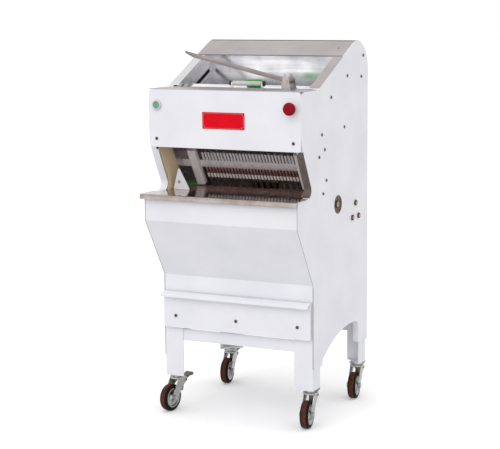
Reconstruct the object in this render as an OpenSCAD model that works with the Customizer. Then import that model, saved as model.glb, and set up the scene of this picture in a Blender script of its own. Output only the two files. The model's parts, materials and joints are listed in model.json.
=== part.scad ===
/* [Cabinet] */
// Width over the side panels
cabinet_w = 560; // [540:1:600]
// Thickness of the folded sheet
sheet_t = 2; // [1.5:0.1:2.5]
// Depth of the folded edge round each side panel
flange_w = 20; // [16:1:21]
// Height of the front cover
cover_h = 192; // [182:1:200]
// Height of the open bay between the shelf and the front cover
bay_h = 155; // [145:1:170]
// Height of the shelf above the rails of the frame
shelf_rise = 355; // [340:1:375]
// Reach of the shelf lip in front of the cover
lip_reach = 62; // [55:1:75]
// Depth of the shelf lip
lip_h = 18; // [14:1:24]
// Thickness of the bearing walls beside the slicing bay
wall_t = 3; // [2:0.5:3.5]
// Radius of the round hole in each side panel
hole_r = 32; // [26:1:36]

/* [Frame and casters] */
// Width of a leg seen from the front
leg_w = 68; // [60:1:70]
// Depth of a leg seen from the side
leg_d = 60; // [50:1:62]
// Thickness of the leg angle
leg_t = 4; // [3:0.5:6]
// Height of the rails above the casters
rail_rise = 295.5; // [280:0.5:310]
// Height of a caster
caster_h = 124.5; // [115:0.5:140]
// Height of a caster's swivel head above its tyre
swivel_head = 30.5; // [28:0.5:34]
// Width of a tyre
wheel_w = 28; // [24:1:30]
// Distance from the swivel to the wheel's axle
trail = 40; // [36:1:42]
// Reach of the brake pedal from the swivel
pedal_reach = 80; // [72:1:90]
// Turn of the casters, the front left one the other way
turned = 8; // [0:1:20]

/* [Slicing] */
// Lean of the blades from the vertical
lean = 32; // [31:0.5:33]
// Distance from blade to blade
blade_pitch = 12; // [10:0.5:12]
// Width of a blade
blade_w = 10; // [8:0.5:11]
// Thickness of a blade
blade_t = 0.8; // [0.6:0.1:1.2]
// Distance between two teeth of a blade
tooth_pitch = 12; // [9:0.5:18]
// Depth of the hollows between the teeth
tooth_d = 2.5; // [1:0.25:3]
// Throw of the crankshaft
throw = 10; // [6:0.5:11]
// Length of a connecting rod between its eyes
rod_l = 200; // [190:1:210]
// Radius of the crankshaft
shaft_r = 12.5; // [10:0.5:13]
// Radius of the driven pulley
driven_r = 90; // [70:1:95]
// Radius of the motor pulley
drive_r = 35; // [26:1:38]
// Radius of the motor
motor_r = 62; // [50:1:66]
// Length of the motor's body
motor_l = 190; // [160:1:195]

/* [Controls and feed] */
// Stroke of the start button
start_stroke = 4; // [2:0.5:4.5]
// Radius of the stop button
stop_r = 21; // [16:0.5:23]
// Width of the raised arm
arm_w = 44; // [30:1:46]
// Thickness of the raised arm
arm_t = 8; // [5:0.5:10]
// Rise of the arm at rest
arm_rise = 12.9; // [8:0.1:20]
// Travel of the pusher
push_travel = 150; // [120:1:155]
// Width of the name plate
plate_w = 154; // [120:1:180]
// Height of the name plate
plate_h = 55; // [40:1:65]

/* [Fits] */
// Gap round a shaft that turns
run_gap = 0.05; // [0.02:0.01:0.1]
// Gap between pieces that slide
slide_gap = 0.3; // [0.2:0.05:0.6]

/* [Hidden] */
$fn = 48;
LEFT = -1;
RIGHT = 1;
half_w = cabinet_w / 2;
wall_x = half_w - flange_w - 4;
wall_in = wall_x - wall_t;
back_y = 566;
foot_front = 87;
hopper_y = -39;
rail_h = caster_h + rail_rise;
shelf_h = rail_h + shelf_rise;
cover_low = shelf_h + bay_h;
step_h = cover_low + cover_h;
leg_front_y = foot_front;
leg_rear_y = back_y - 11;
leg_x = half_w - sheet_t;
rail_t = 8;
runner_t = 2;
runner_low = rail_h - 122;
tray_x = leg_x - leg_w - 12;
tray_low = runner_low + runner_t + slide_gap;
tray_h = 80;
slope = 25.2;
slope_start = 129;
band_start = back_y - 226;
caster_x = half_w - 26;
caster_y = [foot_front + 33, back_y - 31];
pedal_w = 25;
// The part's origin is on the floor below the middle of its box
pedal_back = caster_y[1] + pedal_reach * cos(turned) + pedal_w / 2 * sin(turned);
centre_y = (pedal_back - lip_reach) / 2;

// The blade plane: its local Z runs up the blades and its local Y points to the rear
blade_y = 200;
blade_z = shelf_h + 105;
frame_low = -160;
frame_high = (step_h - 30 - blade_z) / cos(lean);
frame_h = frame_high - frame_low;
bar_h = 20;
bar_t = 14;
bar_gap = 2;
column_x = wall_in - 63;
column_w = 16;
blade_count = 2 * floor((column_x - 8) / blade_pitch);
gudgeon_drop = 40;
crank_z = frame_low - gudgeon_drop - rod_l - throw;
rod_t = 12;
rod_x = [column_x - 90, column_x - 50];
ear_t = 6;
axial_gap = 0.5;
ring_r = 34;
eccentric_r = 24;
motor_x = wall_in - motor_l;
pulley_x = [motor_x - 43, motor_x - 18];
belt_t = 6;
comb_z = -26;

function turn_lean(p) = [p[0] * cos(lean) - p[1] * sin(lean), p[0] * sin(lean) + p[1] * cos(lean)];
function from_blade(p) = [blade_y, blade_z] + turn_lean(p);
function slope_z(y) = step_h + (y - slope_start) * tan(slope);
crank_yz = from_blade([0, crank_z]);
motor_yz = crank_yz + [34, 148];
function blade_xs(first) =
  [for (i = [first:2:blade_count - 1]) (i - (blade_count - 1) / 2) * blade_pitch];

// Bent sheets and outlines, drawn in the YZ plane as [y, z, corner radius]
function unit(v) = v / norm(v);
function yz(p) = [p[0], p[1]];
function corner(a, p, b, r) =
  let (n = max(6, round(r / 7)), u = unit(a - p), v = unit(b - p), half = acos(u * v) / 2,
    c = p + unit(u + v) * r / sin(half),
    s = p + u * r / tan(half) - c, e = p + v * r / tan(half) - c, a0 = atan2(s[1], s[0]),
    sweep = atan2(s[0] * e[1] - s[1] * e[0], s * e))
  [for (i = [0:n]) c + r * [cos(a0 + sweep * i / n), sin(a0 + sweep * i / n)]];
function closed_path(pts) =
  let (n = len(pts))
  [for (i = [0:n - 1]) each pts[i][2] > 0
    ? corner(yz(pts[(i + n - 1) % n]), yz(pts[i]), yz(pts[(i + 1) % n]), pts[i][2])
    : [yz(pts[i])]];
function open_path(pts) =
  let (n = len(pts))
  [for (i = [0:n - 1]) each i > 0 && i < n - 1 && pts[i][2] > 0
    ? corner(yz(pts[i - 1]), yz(pts[i]), yz(pts[i + 1]), pts[i][2])
    : [yz(pts[i])]];
function right_of(d) = [d[1], -d[0]];
function mitre(a, p, b, d) =
  let (m = right_of(unit(p - a)), k = right_of(unit(b - p)))
  p + d * (m + k) / (1 + m * k);
function inset(path, d) =
  let (n = len(path))
  [for (i = [0:n - 1]) mitre(path[(i + n - 1) % n], path[i], path[(i + 1) % n], d)];
function beside(path, d) =
  let (n = len(path))
  [for (i = [0:n - 1]) i == 0 ? path[0] + d * right_of(unit(path[1] - path[0]))
    : i == n - 1 ? path[i] + d * right_of(unit(path[i] - path[i - 1]))
    : mitre(path[i - 1], path[i], path[i + 1], d)];

module place() { translate([0, -centre_y, 0]) children(); }
module along_x(x0, x1) {
  translate([x0, 0, 0]) rotate([90, 0, 90]) linear_extrude(x1 - x0) children();
}
module sheet(pts, x0, x1, t = sheet_t) {
  path = open_path(pts);
  other = beside(path, t);
  along_x(x0, x1) polygon(concat(path, [for (i = [len(other) - 1:-1:0]) other[i]]));
}
module pin_x(x0, x1, p, r) { translate([x0, p[0], p[1]]) rotate([0, 90, 0]) cylinder(h = x1 - x0, r = r); }
module pin_y(y0, y1, x, z, r) { translate([x, y0, z]) rotate([-90, 0, 0]) cylinder(h = y1 - y0, r = r); }
module block(x0, x1, y0, y1, z0, z1) { translate([x0, y0, z0]) cube([x1 - x0, y1 - y0, z1 - z0]); }
module in_blade_plane() { translate([0, blade_y, blade_z]) rotate([lean, 0, 0]) children(); }
module on_side(side) { mirror([side < 0 ? 1 : 0, 0, 0]) children(); }
module both_sides() {
  for (side = [LEFT, RIGHT]) on_side(side) children();
}

// Cabinet
arch_r = 450;
arch_top = caster_h + 168.5;
foot_low = caster_h + 72.5;
foot_back = foot_front + 76;
rear_foot_low = caster_h + 80.5;
rear_foot_y = back_y - 81;
arch_centre = [rear_foot_y - 70, arch_top - arch_r];
arch_end = acos((foot_back + 20 - arch_centre[0]) / arch_r);
arch_start = 86;
hopper_low = rail_h + 62;
hopper_top = shelf_h - 90;
bay_back = 90;
top_r = 98;
panel_outline = closed_path(concat(
  [[0, step_h, 20], [slope_start, step_h, 20], [back_y, slope_z(back_y), top_r],
    [back_y, rear_foot_low, 4], [rear_foot_y, rear_foot_low, 4], [rear_foot_y, arch_top - 2, 34]],
  [for (i = [0:9]) let (a = arch_start + (arch_end - arch_start) * i / 9)
    [arch_centre[0] + arch_r * cos(a), arch_centre[1] + arch_r * sin(a), 0]],
  [[foot_back, foot_low + 20, 6], [foot_back, foot_low, 4], [foot_front, foot_low, 4],
    [foot_front, hopper_low, 24], [hopper_y, hopper_top, 24], [hopper_y, shelf_h, 15], [bay_back, shelf_h, 25],
    [0, cover_low + 12, 170]]));
// Screws of a side panel, measured from the step
panel_screw_yz = [for (p = [[519, 98], [376, 34], [502, 26], [235, -30], [350, -137], [158, -148], [182, -199],
  [136, -220], [196, -302], [169, -344]]) p + [0, step_h]];
hole_drop = 181;
hole_yz = from_blade([0, -hole_drop]);
motor_bolt_pcd = 65;
motor_bolt_yz = [for (a = [90, 210, 330]) motor_yz + motor_bolt_pcd / 2 * [cos(a), sin(a)]];
screw_r = 3;
head_r = 5.5;
head_h = 3;
bolt_r = 5;
bolt_head_r = 8;
bolt_head_h = 4.5;

module side_panel(side) {
  color("whitesmoke") on_side(side) difference() {
    along_x(half_w - flange_w, half_w) polygon(panel_outline);
    along_x(half_w - flange_w - 1, half_w - sheet_t) polygon(inset(panel_outline, sheet_t));
    block(half_w - flange_w - 1, half_w - sheet_t, 0, back_y + 1, 0, rear_foot_low + sheet_t + 1);
    block(half_w - flange_w - 1, half_w - sheet_t, 0, leg_front_y + leg_d + 1, 0, rail_h + 1);
    along_x(half_w - flange_w - 1, half_w - sheet_t) polygon(concat(beside(open_path(hopper_pts), -sheet_t),
      [[hopper_y - 1, strip_low], [hopper_y - 1, shelf_h]]));
    for (p = panel_screw_yz) pin_x(half_w - sheet_t - 1, half_w + 1, p, screw_r + slide_gap);
    pin_x(half_w - sheet_t - 1, half_w + 1, hole_yz, hole_r);
    if (side == RIGHT)
      for (p = motor_bolt_yz) pin_x(half_w - sheet_t - 1, half_w + 1, p, bolt_r + slide_gap);
  }
}
module side_panel_left() { side_panel(LEFT); }
module side_panel_right() { side_panel(RIGHT); }

wall_edge = 8;
wall_low = rail_h + rail_t;
module bearing_wall(side) {
  color("gainsboro") on_side(side) difference() {
    along_x(wall_in, wall_x) intersection() {
      polygon(inset(panel_outline, wall_edge));
      translate([hopper_y, wall_low]) square([leg_rear_y - leg_t - hopper_y, step_h]);
    }
    pin_x(wall_in - 1, wall_x + 1, crank_yz, shaft_r + 2);
    pin_x(wall_in - 1, wall_x + 1, hole_yz, adjuster_r);
    along_x(wall_in - 1, wall_x + 1) slot_outline();
    pin_y(0, barrel_l + 4, button_x, button_z, barrel_r + 3);
    if (side == RIGHT)
      for (p = motor_bolt_yz) pin_x(wall_in - 1, wall_x + 1, p, bolt_r + slide_gap);
  }
}
module bearing_wall_left() { bearing_wall(LEFT); }
module bearing_wall_right() { bearing_wall(RIGHT); }

button_x = half_w - 33;
button_z = step_h - 52;
barrel_r = 8;
barrel_l = 38;
module front_cover() {
  x = half_w - 4;
  color("whitesmoke") difference() {
    union() {
      block(-x, x, -sheet_t, 0, cover_low, step_h);
      sheet([[0, cover_low, 0], [24, cover_low, 0]], -wall_in + 3, wall_in - 3, -sheet_t);
    }
    for (x = [-button_x, button_x]) pin_y(-sheet_t - 1, 1, x, button_z, barrel_r + slide_gap);
    for (x = [-cover_screw_x, cover_screw_x]) pin_y(-sheet_t - 1, 1, x, cover_screw_z, screw_r + slide_gap);
  }
}
cover_screw_x = half_w - 30;
cover_screw_z = cover_low + 28;

plate_z = step_h - 98.5;
plate_t = 1.5;
module name_plate() {
  pin_r = 2.5;
  color("red") {
    block(-plate_w / 2, plate_w / 2, -sheet_t - plate_t, -sheet_t, plate_z - plate_h / 2,
      plate_z + plate_h / 2);
    for (x = [-1, 1], z = [-1, 1])
      pin_y(-sheet_t - plate_t - 0.8, -sheet_t, x * (plate_w / 2 - 7), plate_z + z * (plate_h / 2 - 7), pin_r);
  }
}

ledge_back = slope_start + 17;
module infeed_ledge() {
  x = half_w - 2;
  color("silver") {
    block(-x, x, -sheet_t, slope_start - 6, step_h, step_h + sheet_t);
    sheet([[slope_start - 7, step_h, 0], [ledge_back, step_h, 7], [ledge_back, step_h - 20, 0]], -wall_in + 3,
      wall_in - 3, -sheet_t);
  }
}

strip_w = 36;
strip_t = 1.5;
module infeed_strips() {
  color("silver") both_sides()
    sheet([[slope_start + 10, slope_z(slope_start + 10), 0], [band_start - 1, slope_z(band_start - 1), 0]],
      half_w - strip_w, half_w - 1, -strip_t);
}

band_low = step_h - 42;
module top_panel() {
  x = half_w - 4;
  color("silver") {
    sheet([[band_start, slope_z(band_start), 0], [back_y, slope_z(back_y), top_r], [back_y, band_low, 0]],
      -x, x, -strip_t);
  }
}

vent_w = 90;
vent_h = 8;
vent_from_side = 170;
vent_x = half_w - vent_from_side;
gland_from_side = 110;
gland_x = half_w - gland_from_side;
gland_rise = 140;
gland_z = rail_h + gland_rise;
vent_low = gland_z + 80;
gland_r = 9;
module back_panel() {
  x = half_w - flange_w - 2;
  color("whitesmoke") difference() {
    block(-x, x, leg_rear_y, leg_rear_y + sheet_t, rear_foot_low + 25, band_low + 20);
    for (side = [LEFT, RIGHT], i = [0:5])
      translate([side * vent_x, leg_rear_y - 1, vent_low + 22 * i]) {
        block(-vent_w / 2, vent_w / 2, 0, sheet_t + 2, -vent_h / 2, vent_h / 2);
        for (end = [-1, 1]) pin_y(0, sheet_t + 2, end * vent_w / 2, 0, vent_h / 2);
      }
    pin_y(leg_rear_y - 1, leg_rear_y + sheet_t + 1, gland_x, gland_z, gland_r + slide_gap);
  }
}
module cable_gland() {
  bore_r = 4.5;
  outer = leg_rear_y + sheet_t;
  color("dimgray") difference() {
    union() {
      pin_y(leg_rear_y - 14, outer + 6, gland_x, gland_z, gland_r);
      translate([gland_x, outer, gland_z]) rotate([-90, 0, 0]) cylinder(h = 5, r = 13, $fn = 6);
      translate([gland_x, leg_rear_y - 5, gland_z]) rotate([-90, 0, 0]) cylinder(h = 5, r = 13, $fn = 6);
      translate([gland_x, outer + 6, gland_z]) rotate([-90, 0, 0]) cylinder(h = 12, r1 = 10.5, r2 = 7.5);
    }
    pin_y(leg_rear_y - 15, outer + 20, gland_x, gland_z, bore_r);
  }
}

shelf_side = half_w + 6;
shelf_back = 230;
module outfeed_shelf() {
  color("silver") {
    sheet([[30, shelf_h, 0], [sheet_t - lip_reach, shelf_h, 6],
      [sheet_t - lip_reach, shelf_h + 2 * sheet_t - lip_h, 4],
      [14 - lip_reach, shelf_h + 2 * sheet_t - lip_h, 0]], -shelf_side, shelf_side, sheet_t);
    block(-wall_in, wall_in, 29, shelf_back, shelf_h, shelf_h + sheet_t);
  }
}

hopper_in = 1;
hopper_bend = 5;
strip_low = rail_h + slide_gap;
hopper_pts = [[hopper_y + hopper_in, shelf_h - sheet_t, 0], [hopper_y + hopper_in, hopper_top, hopper_bend],
  [foot_front + hopper_in, hopper_low, hopper_bend], [foot_front + hopper_in, strip_low, 0]];
module hopper_panel() {
  x = half_w - sheet_t - slide_gap;
  color("whitesmoke") sheet(hopper_pts, -x, x, -sheet_t);
}

chute_start = from_blade([30, -124]);
chute_back = back_y - 154;
chute_top = slope_z(chute_back) - 6;
chute_r = 150;
module bread_chute() {
  rise = chute_start + (chute_back - chute_start[0]) * [1, tan(lean)];
  color("lightgray")
    sheet([[chute_start[0], chute_start[1], 0], [rise[0], rise[1], chute_r], [chute_back, chute_top, 0]],
      -wall_in, wall_in, sheet_t);
}

// Legs, rails and drawer
module leg(front) {
  y = front ? leg_front_y : leg_rear_y;
  d = front ? 1 : -1;
  top = front ? rail_h : band_low - 20;
  foot_t = 5;
  y_in = y + d * leg_d;
  x_in = leg_x - leg_w;
  block(x_in, leg_x, min(y, y + d * leg_t), max(y, y + d * leg_t), caster_h, top);
  block(leg_x - leg_t, leg_x, min(y, y_in), max(y, y_in), caster_h, top);
  translate([0, 0, caster_h]) linear_extrude(foot_t)
    polygon([[leg_x, y], [x_in, y], [x_in, y + d * leg_t], [leg_x - leg_t, y_in], [leg_x, y_in]]);
}
module legs_front() { color("whitesmoke") both_sides() leg(true); }
module legs_rear() { color("whitesmoke") both_sides() leg(false); }

cross_low = runner_low - 45;
cross_h = 40;
module cross_members() {
  x = leg_x - leg_t;
  front = leg_front_y + leg_t;
  rear = leg_rear_y - leg_t;
  color("whitesmoke") {
    block(-x, x, front, front + leg_t, cross_low, cross_low + cross_h);
    block(-x, x, rear - leg_t, rear, cross_low, cross_low + cross_h);
  }
}

runner_w = 24;
module frame_rails() {
  front = leg_front_y + leg_t;
  rear = leg_rear_y - leg_t;
  wall = tray_x + 12;
  rail_front = foot_front + hopper_in + sheet_t;
  color("whitesmoke") both_sides() {
    block(leg_x - 44, leg_x - leg_t, rail_front, rear, rail_h, rail_h + rail_t);
    block(leg_x - leg_t - 1, leg_x, rail_front, leg_front_y + leg_d, rail_h, rail_h + rail_t);
    block(wall + runner_t - runner_w, wall + runner_t, front, rear, runner_low, runner_low + runner_t);
    block(wall, wall + runner_t, front, rear, runner_low, runner_low + 34);
  }
}

drawer_front_y = 72;
drawer_front_t = 10;
drawer_d = back_y - 166;
drawer_low = rail_h - 120;
drawer_high = rail_h + 5;
lip_out = 20;
module crumb_drawer() {
  y0 = drawer_front_y;
  y1 = y0 + drawer_front_t;
  x = half_w - 5;
  low = tray_low;
  t = 1.5;
  color("whitesmoke") {
    difference() {
      block(-x, x, y0, y1, drawer_low, drawer_high);
      block(-x + t, x - t, y0 + t, y1 + 1, drawer_low + t, drawer_high - t);
    }
    sheet([[y0, drawer_high - 1, 0], [y0 - lip_out, drawer_high - 8, 3], [y0 - lip_out, drawer_high - 16, 0]],
      -x, x, t);
    difference() {
      block(-tray_x, tray_x, y0 + t, y1 + drawer_d, low, low + tray_h);
      block(-tray_x + t, tray_x - t, y0 + 2 * t, y1 + drawer_d - t, low + t, low + tray_h + 1);
    }
  }
}

// Slicing unit, in the blade plane
module blade_frame(rear) {
  d = rear ? 1 : -1;
  z0 = frame_low - (rear ? 2 * throw : 0);
  y0 = rear ? bar_gap : -bar_gap - bar_t;
  y1 = y0 + bar_t;
  x1 = column_x + column_w;
  seat = d * (blade_w - bar_gap / 2);
  gudgeon_z = z0 - gudgeon_drop;
  difference() {
    union() {
      for (z = [z0, z0 + frame_h - bar_h]) block(-x1, x1, y0, y1, z, z + bar_h);
      both_sides() block(column_x, x1, y0, y1, z0 + bar_h, z0 + frame_h - bar_h);
      both_sides() ear(rear ? rod_x[1] : rod_x[0], y0, y1, z0, gudgeon_z);
    }
    for (x = blade_xs(rear ? 1 : 0), z = [z0, z0 + frame_h - bar_h])
      block(x - blade_t / 2 - 0.1, x + blade_t / 2 + 0.1, min(0, seat), max(0, seat), z - 1, z + bar_h + 1);
    both_sides() pin_x(rod_x[0] - 40, rod_x[1] + 40, [0, gudgeon_z], gudgeon_r + run_gap);
  }
}
gudgeon_r = 6;
module ear(x, y0, y1, z0, gudgeon_z) {
  eye_r = 12;
  along_x(x - rod_t / 2 - axial_gap - ear_t, x - rod_t / 2 - axial_gap) {
    translate([0, gudgeon_z]) circle(r = eye_r);
    translate([y0, gudgeon_z]) square([y1 - y0, z0 + 1 - gudgeon_z]);
  }
}
module blade_frame_front() { color("silver") in_blade_plane() blade_frame(false); }
module blade_frame_rear() { color("silver") in_blade_plane() blade_frame(true); }

// A blade is a thin strip whose cutting edge, towards the bread, is a row of hollows
module blades(rear) {
  d = rear ? 1 : -1;
  z0 = frame_low - (rear ? 2 * throw : 0);
  edge = rear ? blade_w - bar_gap / 2 : bar_gap / 2;
  back = edge - blade_w;
  plain = 30;
  teeth = floor((frame_h - 2 * plain) / tooth_pitch);
  start = z0 + (frame_h - teeth * tooth_pitch) / 2;
  for (x = blade_xs(rear ? 1 : 0)) along_x(x - blade_t / 2, x + blade_t / 2) polygon(concat(
    [[back, z0 + 1], [edge, z0 + 1], [edge, start]],
    [for (i = [0:teeth - 1]) each [[edge - tooth_d, start + (i + 0.3) * tooth_pitch],
      [edge - tooth_d, start + (i + 0.7) * tooth_pitch], [edge, start + (i + 1) * tooth_pitch]]],
    [[edge, z0 + frame_h - 1], [back, z0 + frame_h - 1]]));
}
module blades_front() { color("lightsteelblue") in_blade_plane() blades(false); }
module blades_rear() { color("lightsteelblue") in_blade_plane() blades(true); }

// The guides are plastic blocks on the bearing walls, with a channel for each column
adjuster_r = 20;
guide_zs = [[frame_low - 35, 90], [frame_high - 150, 80]];
module frame_guides() {
  y = bar_gap + bar_t + 10;
  g = slide_gap;
  color("limegreen") in_blade_plane() both_sides() for (s = guide_zs) difference() {
    block(column_x + 6, wall_in, -y, y, s[0], s[0] + s[1]);
    for (y0 = [-bar_gap - bar_t, bar_gap])
      block(column_x - 1, column_x + column_w + g, y0 - g, y0 + bar_t + g, s[0] - 1, s[0] + s[1] + 1);
  }
}

comb_out = 20;
module outfeed_comb() {
  bar = 28;
  up = 34;
  down = 44;
  tip = 18;
  t = 3;
  post_d = 18;
  finger = blade_pitch - 5;
  end = wall_in;
  post_w = 32;
  post_x = wall_in - 37;
  post = closed_path([[post_x - post_w, -post_d, 6], [post_x, -post_d, 6], [post_x, 0, 0],
    [post_x - post_w, 0, 0]]);
  post_gap = 4;
  post_low = (shelf_h + sheet_t + post_gap - blade_z + (comb_out + t + post_d) * sin(lean)) / cos(lean);
  post_high = frame_high - 195;
  color("silver") in_blade_plane() translate([0, -comb_out - t, comb_z]) {
    block(-end, end, 0, t, 0, bar);
    both_sides() translate([0, 0, post_low - comb_z]) linear_extrude(post_high - post_low) polygon(post);
    for (i = [0:blade_count - 2]) {
      x = (i - (blade_count - 2) / 2) * blade_pitch;
      block(x - finger / 2, x + finger / 2, 0, t, bar - 1, bar + up);
      along_x(x - finger / 4, x + finger / 4) polygon([[0, 1], [t, 1], [t, -down], [t / 2, -down]]);
      along_x(x - finger / 2, x + finger / 2)
        polygon([[-1, tip - down], [t, tip - down], [t, -down], [0, -down]]);
    }
  }
}

module crankshaft() {
  end = wall_x + 16;
  color("gray") in_blade_plane() {
    pin_x(-end, end, [0, crank_z], shaft_r);
    both_sides() for (i = [0, 1])
      pin_x(rod_x[i] - rod_t / 2, rod_x[i] + rod_t / 2, [0, crank_z + (i == 0 ? throw : -throw)], eccentric_r);
  }
}
module flange_bearings() {
  size = 58;
  color("dimgray") both_sides() {
    difference() {
      union() {
        translate([wall_x, crank_yz[0] - size / 2, crank_yz[1] - size / 2]) cube([8, size, size]);
        pin_x(wall_x, wall_x + 16, crank_yz, 22);
      }
      pin_x(wall_x - 1, wall_x + 20, crank_yz, shaft_r + run_gap);
    }
    pin_x(wall_in, wall_x + 8, hole_yz, adjuster_r - 0.2);
    pin_x(wall_x + 8, wall_x + 14, hole_yz, 9);
  }
}
module connecting_rods(i) {
  ring_z = crank_z + (i == 0 ? throw : -throw);
  eye_z = ring_z + rod_l;
  x0 = rod_x[i] - rod_t / 2;
  x1 = x0 + rod_t;
  both_sides() difference() {
    union() {
      pin_x(x0, x1, [0, ring_z], ring_r);
      pin_x(x0, x1, [0, eye_z], 13);
      along_x(x0 + 2, x1 - 2) polygon([[-12, ring_z + 25], [12, ring_z + 25], [8, eye_z], [-8, eye_z]]);
      pin_x(x1 - 1, x1 + 5, [0, eye_z], gudgeon_r);
    }
    pin_x(x0 - 1, x1 + 1, [0, ring_z], eccentric_r + run_gap);
  }
}
module connecting_rods_front() { color("darkgray") in_blade_plane() connecting_rods(0); }
module connecting_rods_rear() { color("darkgray") in_blade_plane() connecting_rods(1); }

// Drive
pulley_groove = 5;
module pulley(p, r, bore) {
  mid = (pulley_x[0] + pulley_x[1]) / 2;
  half = (pulley_x[1] - pulley_x[0]) / 2;
  low = r - pulley_groove;
  translate([mid, p[0], p[1]]) rotate([0, 90, 0]) rotate_extrude()
    polygon([[bore, -half], [r, -half], [r, -half + 3], [low, -half + 7], [low, half - 7], [r, half - 3],
      [r, half], [bore, half]]);
}
module driven_pulley() { color("slategray") pulley(crank_yz, driven_r, shaft_r + 0.02); }
motor_shaft_r = 9;
shaft_hold = 40;
module motor_pulley() {
  color("slategray") {
    pulley(motor_yz, drive_r, motor_shaft_r - 1);
    pin_x(pulley_x[0] - 4, motor_x + shaft_hold, motor_yz, motor_shaft_r);
  }
}
module motor() {
  x1 = wall_in;
  x0 = motor_x;
  fin_r = motor_r - 4;
  box_l = 80;
  box_w = 60;
  color("royalblue") difference() {
    union() {
      pin_x(x0, x1 - 10, motor_yz, fin_r);
      pin_x(x1 - 10, x1, motor_yz, motor_r);
      pin_x(x0, x0 + 8, motor_yz, motor_r);
      for (x = [x0 + 22:14:x1 - 24]) pin_x(x, x + 5, motor_yz, motor_r);
      block(x0 + 50, x0 + 50 + box_l, motor_yz[0] - box_w / 2, motor_yz[0] + box_w / 2,
        motor_yz[1] + fin_r - 10, motor_yz[1] + motor_r + 22);
    }
    for (p = motor_bolt_yz) pin_x(x1 - 20, x1 + 1, p, bolt_r + 0.1);
    pin_x(x0 - 1, x0 + shaft_hold + 1, motor_yz, motor_shaft_r + run_gap);
  }
}
module drive_belt() {
  d = norm(motor_yz - crank_yz);
  dir = atan2(motor_yz[1] - crank_yz[1], motor_yz[0] - crank_yz[0]);
  mid = (pulley_x[0] + pulley_x[1]) / 2;
  low = slide_gap - pulley_groove;
  color("black") along_x(mid - 5, mid + 5) translate(crank_yz) rotate(dir) difference() {
    polygon(belt_path(driven_r + low + belt_t, drive_r + low + belt_t, d));
    polygon(belt_path(driven_r + low, drive_r + low, d));
  }
}
function belt_path(r0, r1, d) =
  let (a = acos((r0 - r1) / d))
  concat([for (i = [0:24]) r0 * [cos(a + i * (360 - 2 * a) / 24), sin(a + i * (360 - 2 * a) / 24)]],
    [for (i = [0:12]) [d, 0] + r1 * [cos(-a + i * 2 * a / 12), sin(-a + i * 2 * a / 12)]]);

// Buttons on the front cover
bezel_r = 17;
bezel_l = 8;
stem_r = 5.5;
cap_r = 11;
module bezel(x, z, bore) {
  difference() {
    union() {
      pin_y(-sheet_t - bezel_l, -sheet_t, x, z, bezel_r);
      pin_y(-sheet_t - 1, barrel_l, x, z, barrel_r);
    }
    pin_y(-sheet_t - bezel_l - 1, -sheet_t, x, z, bore + slide_gap);
    pin_y(-sheet_t - 1, barrel_l - 4, x, z, stem_r + slide_gap);
  }
}
module button_bezels() {
  color("gray") {
    bezel(-button_x, button_z, cap_r);
    bezel(button_x, button_z, neck_r);
  }
}
module start_button() {
  face = -sheet_t - bezel_l + 1;
  seat = -sheet_t - start_stroke - 0.5;
  color("mediumseagreen") {
    pin_y(face, seat, -button_x, button_z, cap_r);
    pin_y(seat - 1, barrel_l - 4 - start_stroke - 2, -button_x, button_z, stem_r);
  }
}
neck_r = 9;
stop_stroke = 6;
module stop_button() {
  head = 17;
  face = -37;
  back = face + head;
  color("firebrick") translate([button_x, 0, button_z]) rotate([-90, 0, 0]) rotate_extrude()
    polygon(concat([[0, barrel_l - 4 - stop_stroke - 2], [0, face]],
      [for (a = [90:-15:0]) [(stop_r - 6) + 6 * cos(a), face + 6 - 6 * sin(a)]],
      [[stop_r, back - 3], [stop_r - 4, back], [neck_r, back], [neck_r, -sheet_t - stop_stroke - 0.5],
        [stem_r, -sheet_t - stop_stroke - 0.5], [stem_r, barrel_l - 4 - stop_stroke - 2]]));
}

// Raised arm over the infeed
pivot_x = half_w - 100;
pivot_h = step_h + 28;
arm_l = cabinet_w - 154;
arm_y = 118;
ear_sheet = 3;
ear_gap = 1.5;
pin_r = 4;
module arm_bracket() {
  top = step_h + sheet_t;
  reach = arm_w / 2 + ear_gap;
  ear = closed_path([[-16, 0, 0], [16, 0, 0], [11, 34, 8], [-5, 54, 4], [-11, 34, 8]]);
  color("silver") difference() {
    union() {
      block(pivot_x - 18, pivot_x + 18, arm_y - reach - ear_sheet, arm_y + reach + ear_sheet, top,
        top + ear_sheet);
      for (y = [arm_y - reach, arm_y + reach + ear_sheet])
        translate([pivot_x, y, top]) rotate([90, 0, 0]) linear_extrude(ear_sheet) polygon(ear);
    }
    pin_y(arm_y - 60, arm_y + 60, pivot_x, pivot_h, pin_r + run_gap);
  }
}
module arm_pin() {
  reach = arm_w / 2 + ear_gap + ear_sheet;
  color("silver") {
    pin_y(arm_y - reach - 3, arm_y + reach + 3, pivot_x, pivot_h, pin_r);
    for (y = [arm_y - reach - 3, arm_y + reach]) pin_y(y, y + 3, pivot_x, pivot_h, pin_r + 2);
  }
}
module hold_down_arm() {
  barrel = 9;
  tip_cut = 53;
  color("rosybrown") translate([pivot_x, arm_y, pivot_h]) rotate([0, arm_rise, 0]) difference() {
    union() {
      pin_y(-arm_w / 2, arm_w / 2, 0, 0, barrel);
      translate([0, 0, -arm_t / 2]) linear_extrude(arm_t)
        polygon([[0, -arm_w / 2], [0, arm_w / 2], [-arm_l, arm_w / 2], [-arm_l + tip_cut, -arm_w / 2]]);
    }
    pin_y(-arm_w, arm_w, 0, 0, pin_r + run_gap);
  }
}

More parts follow.
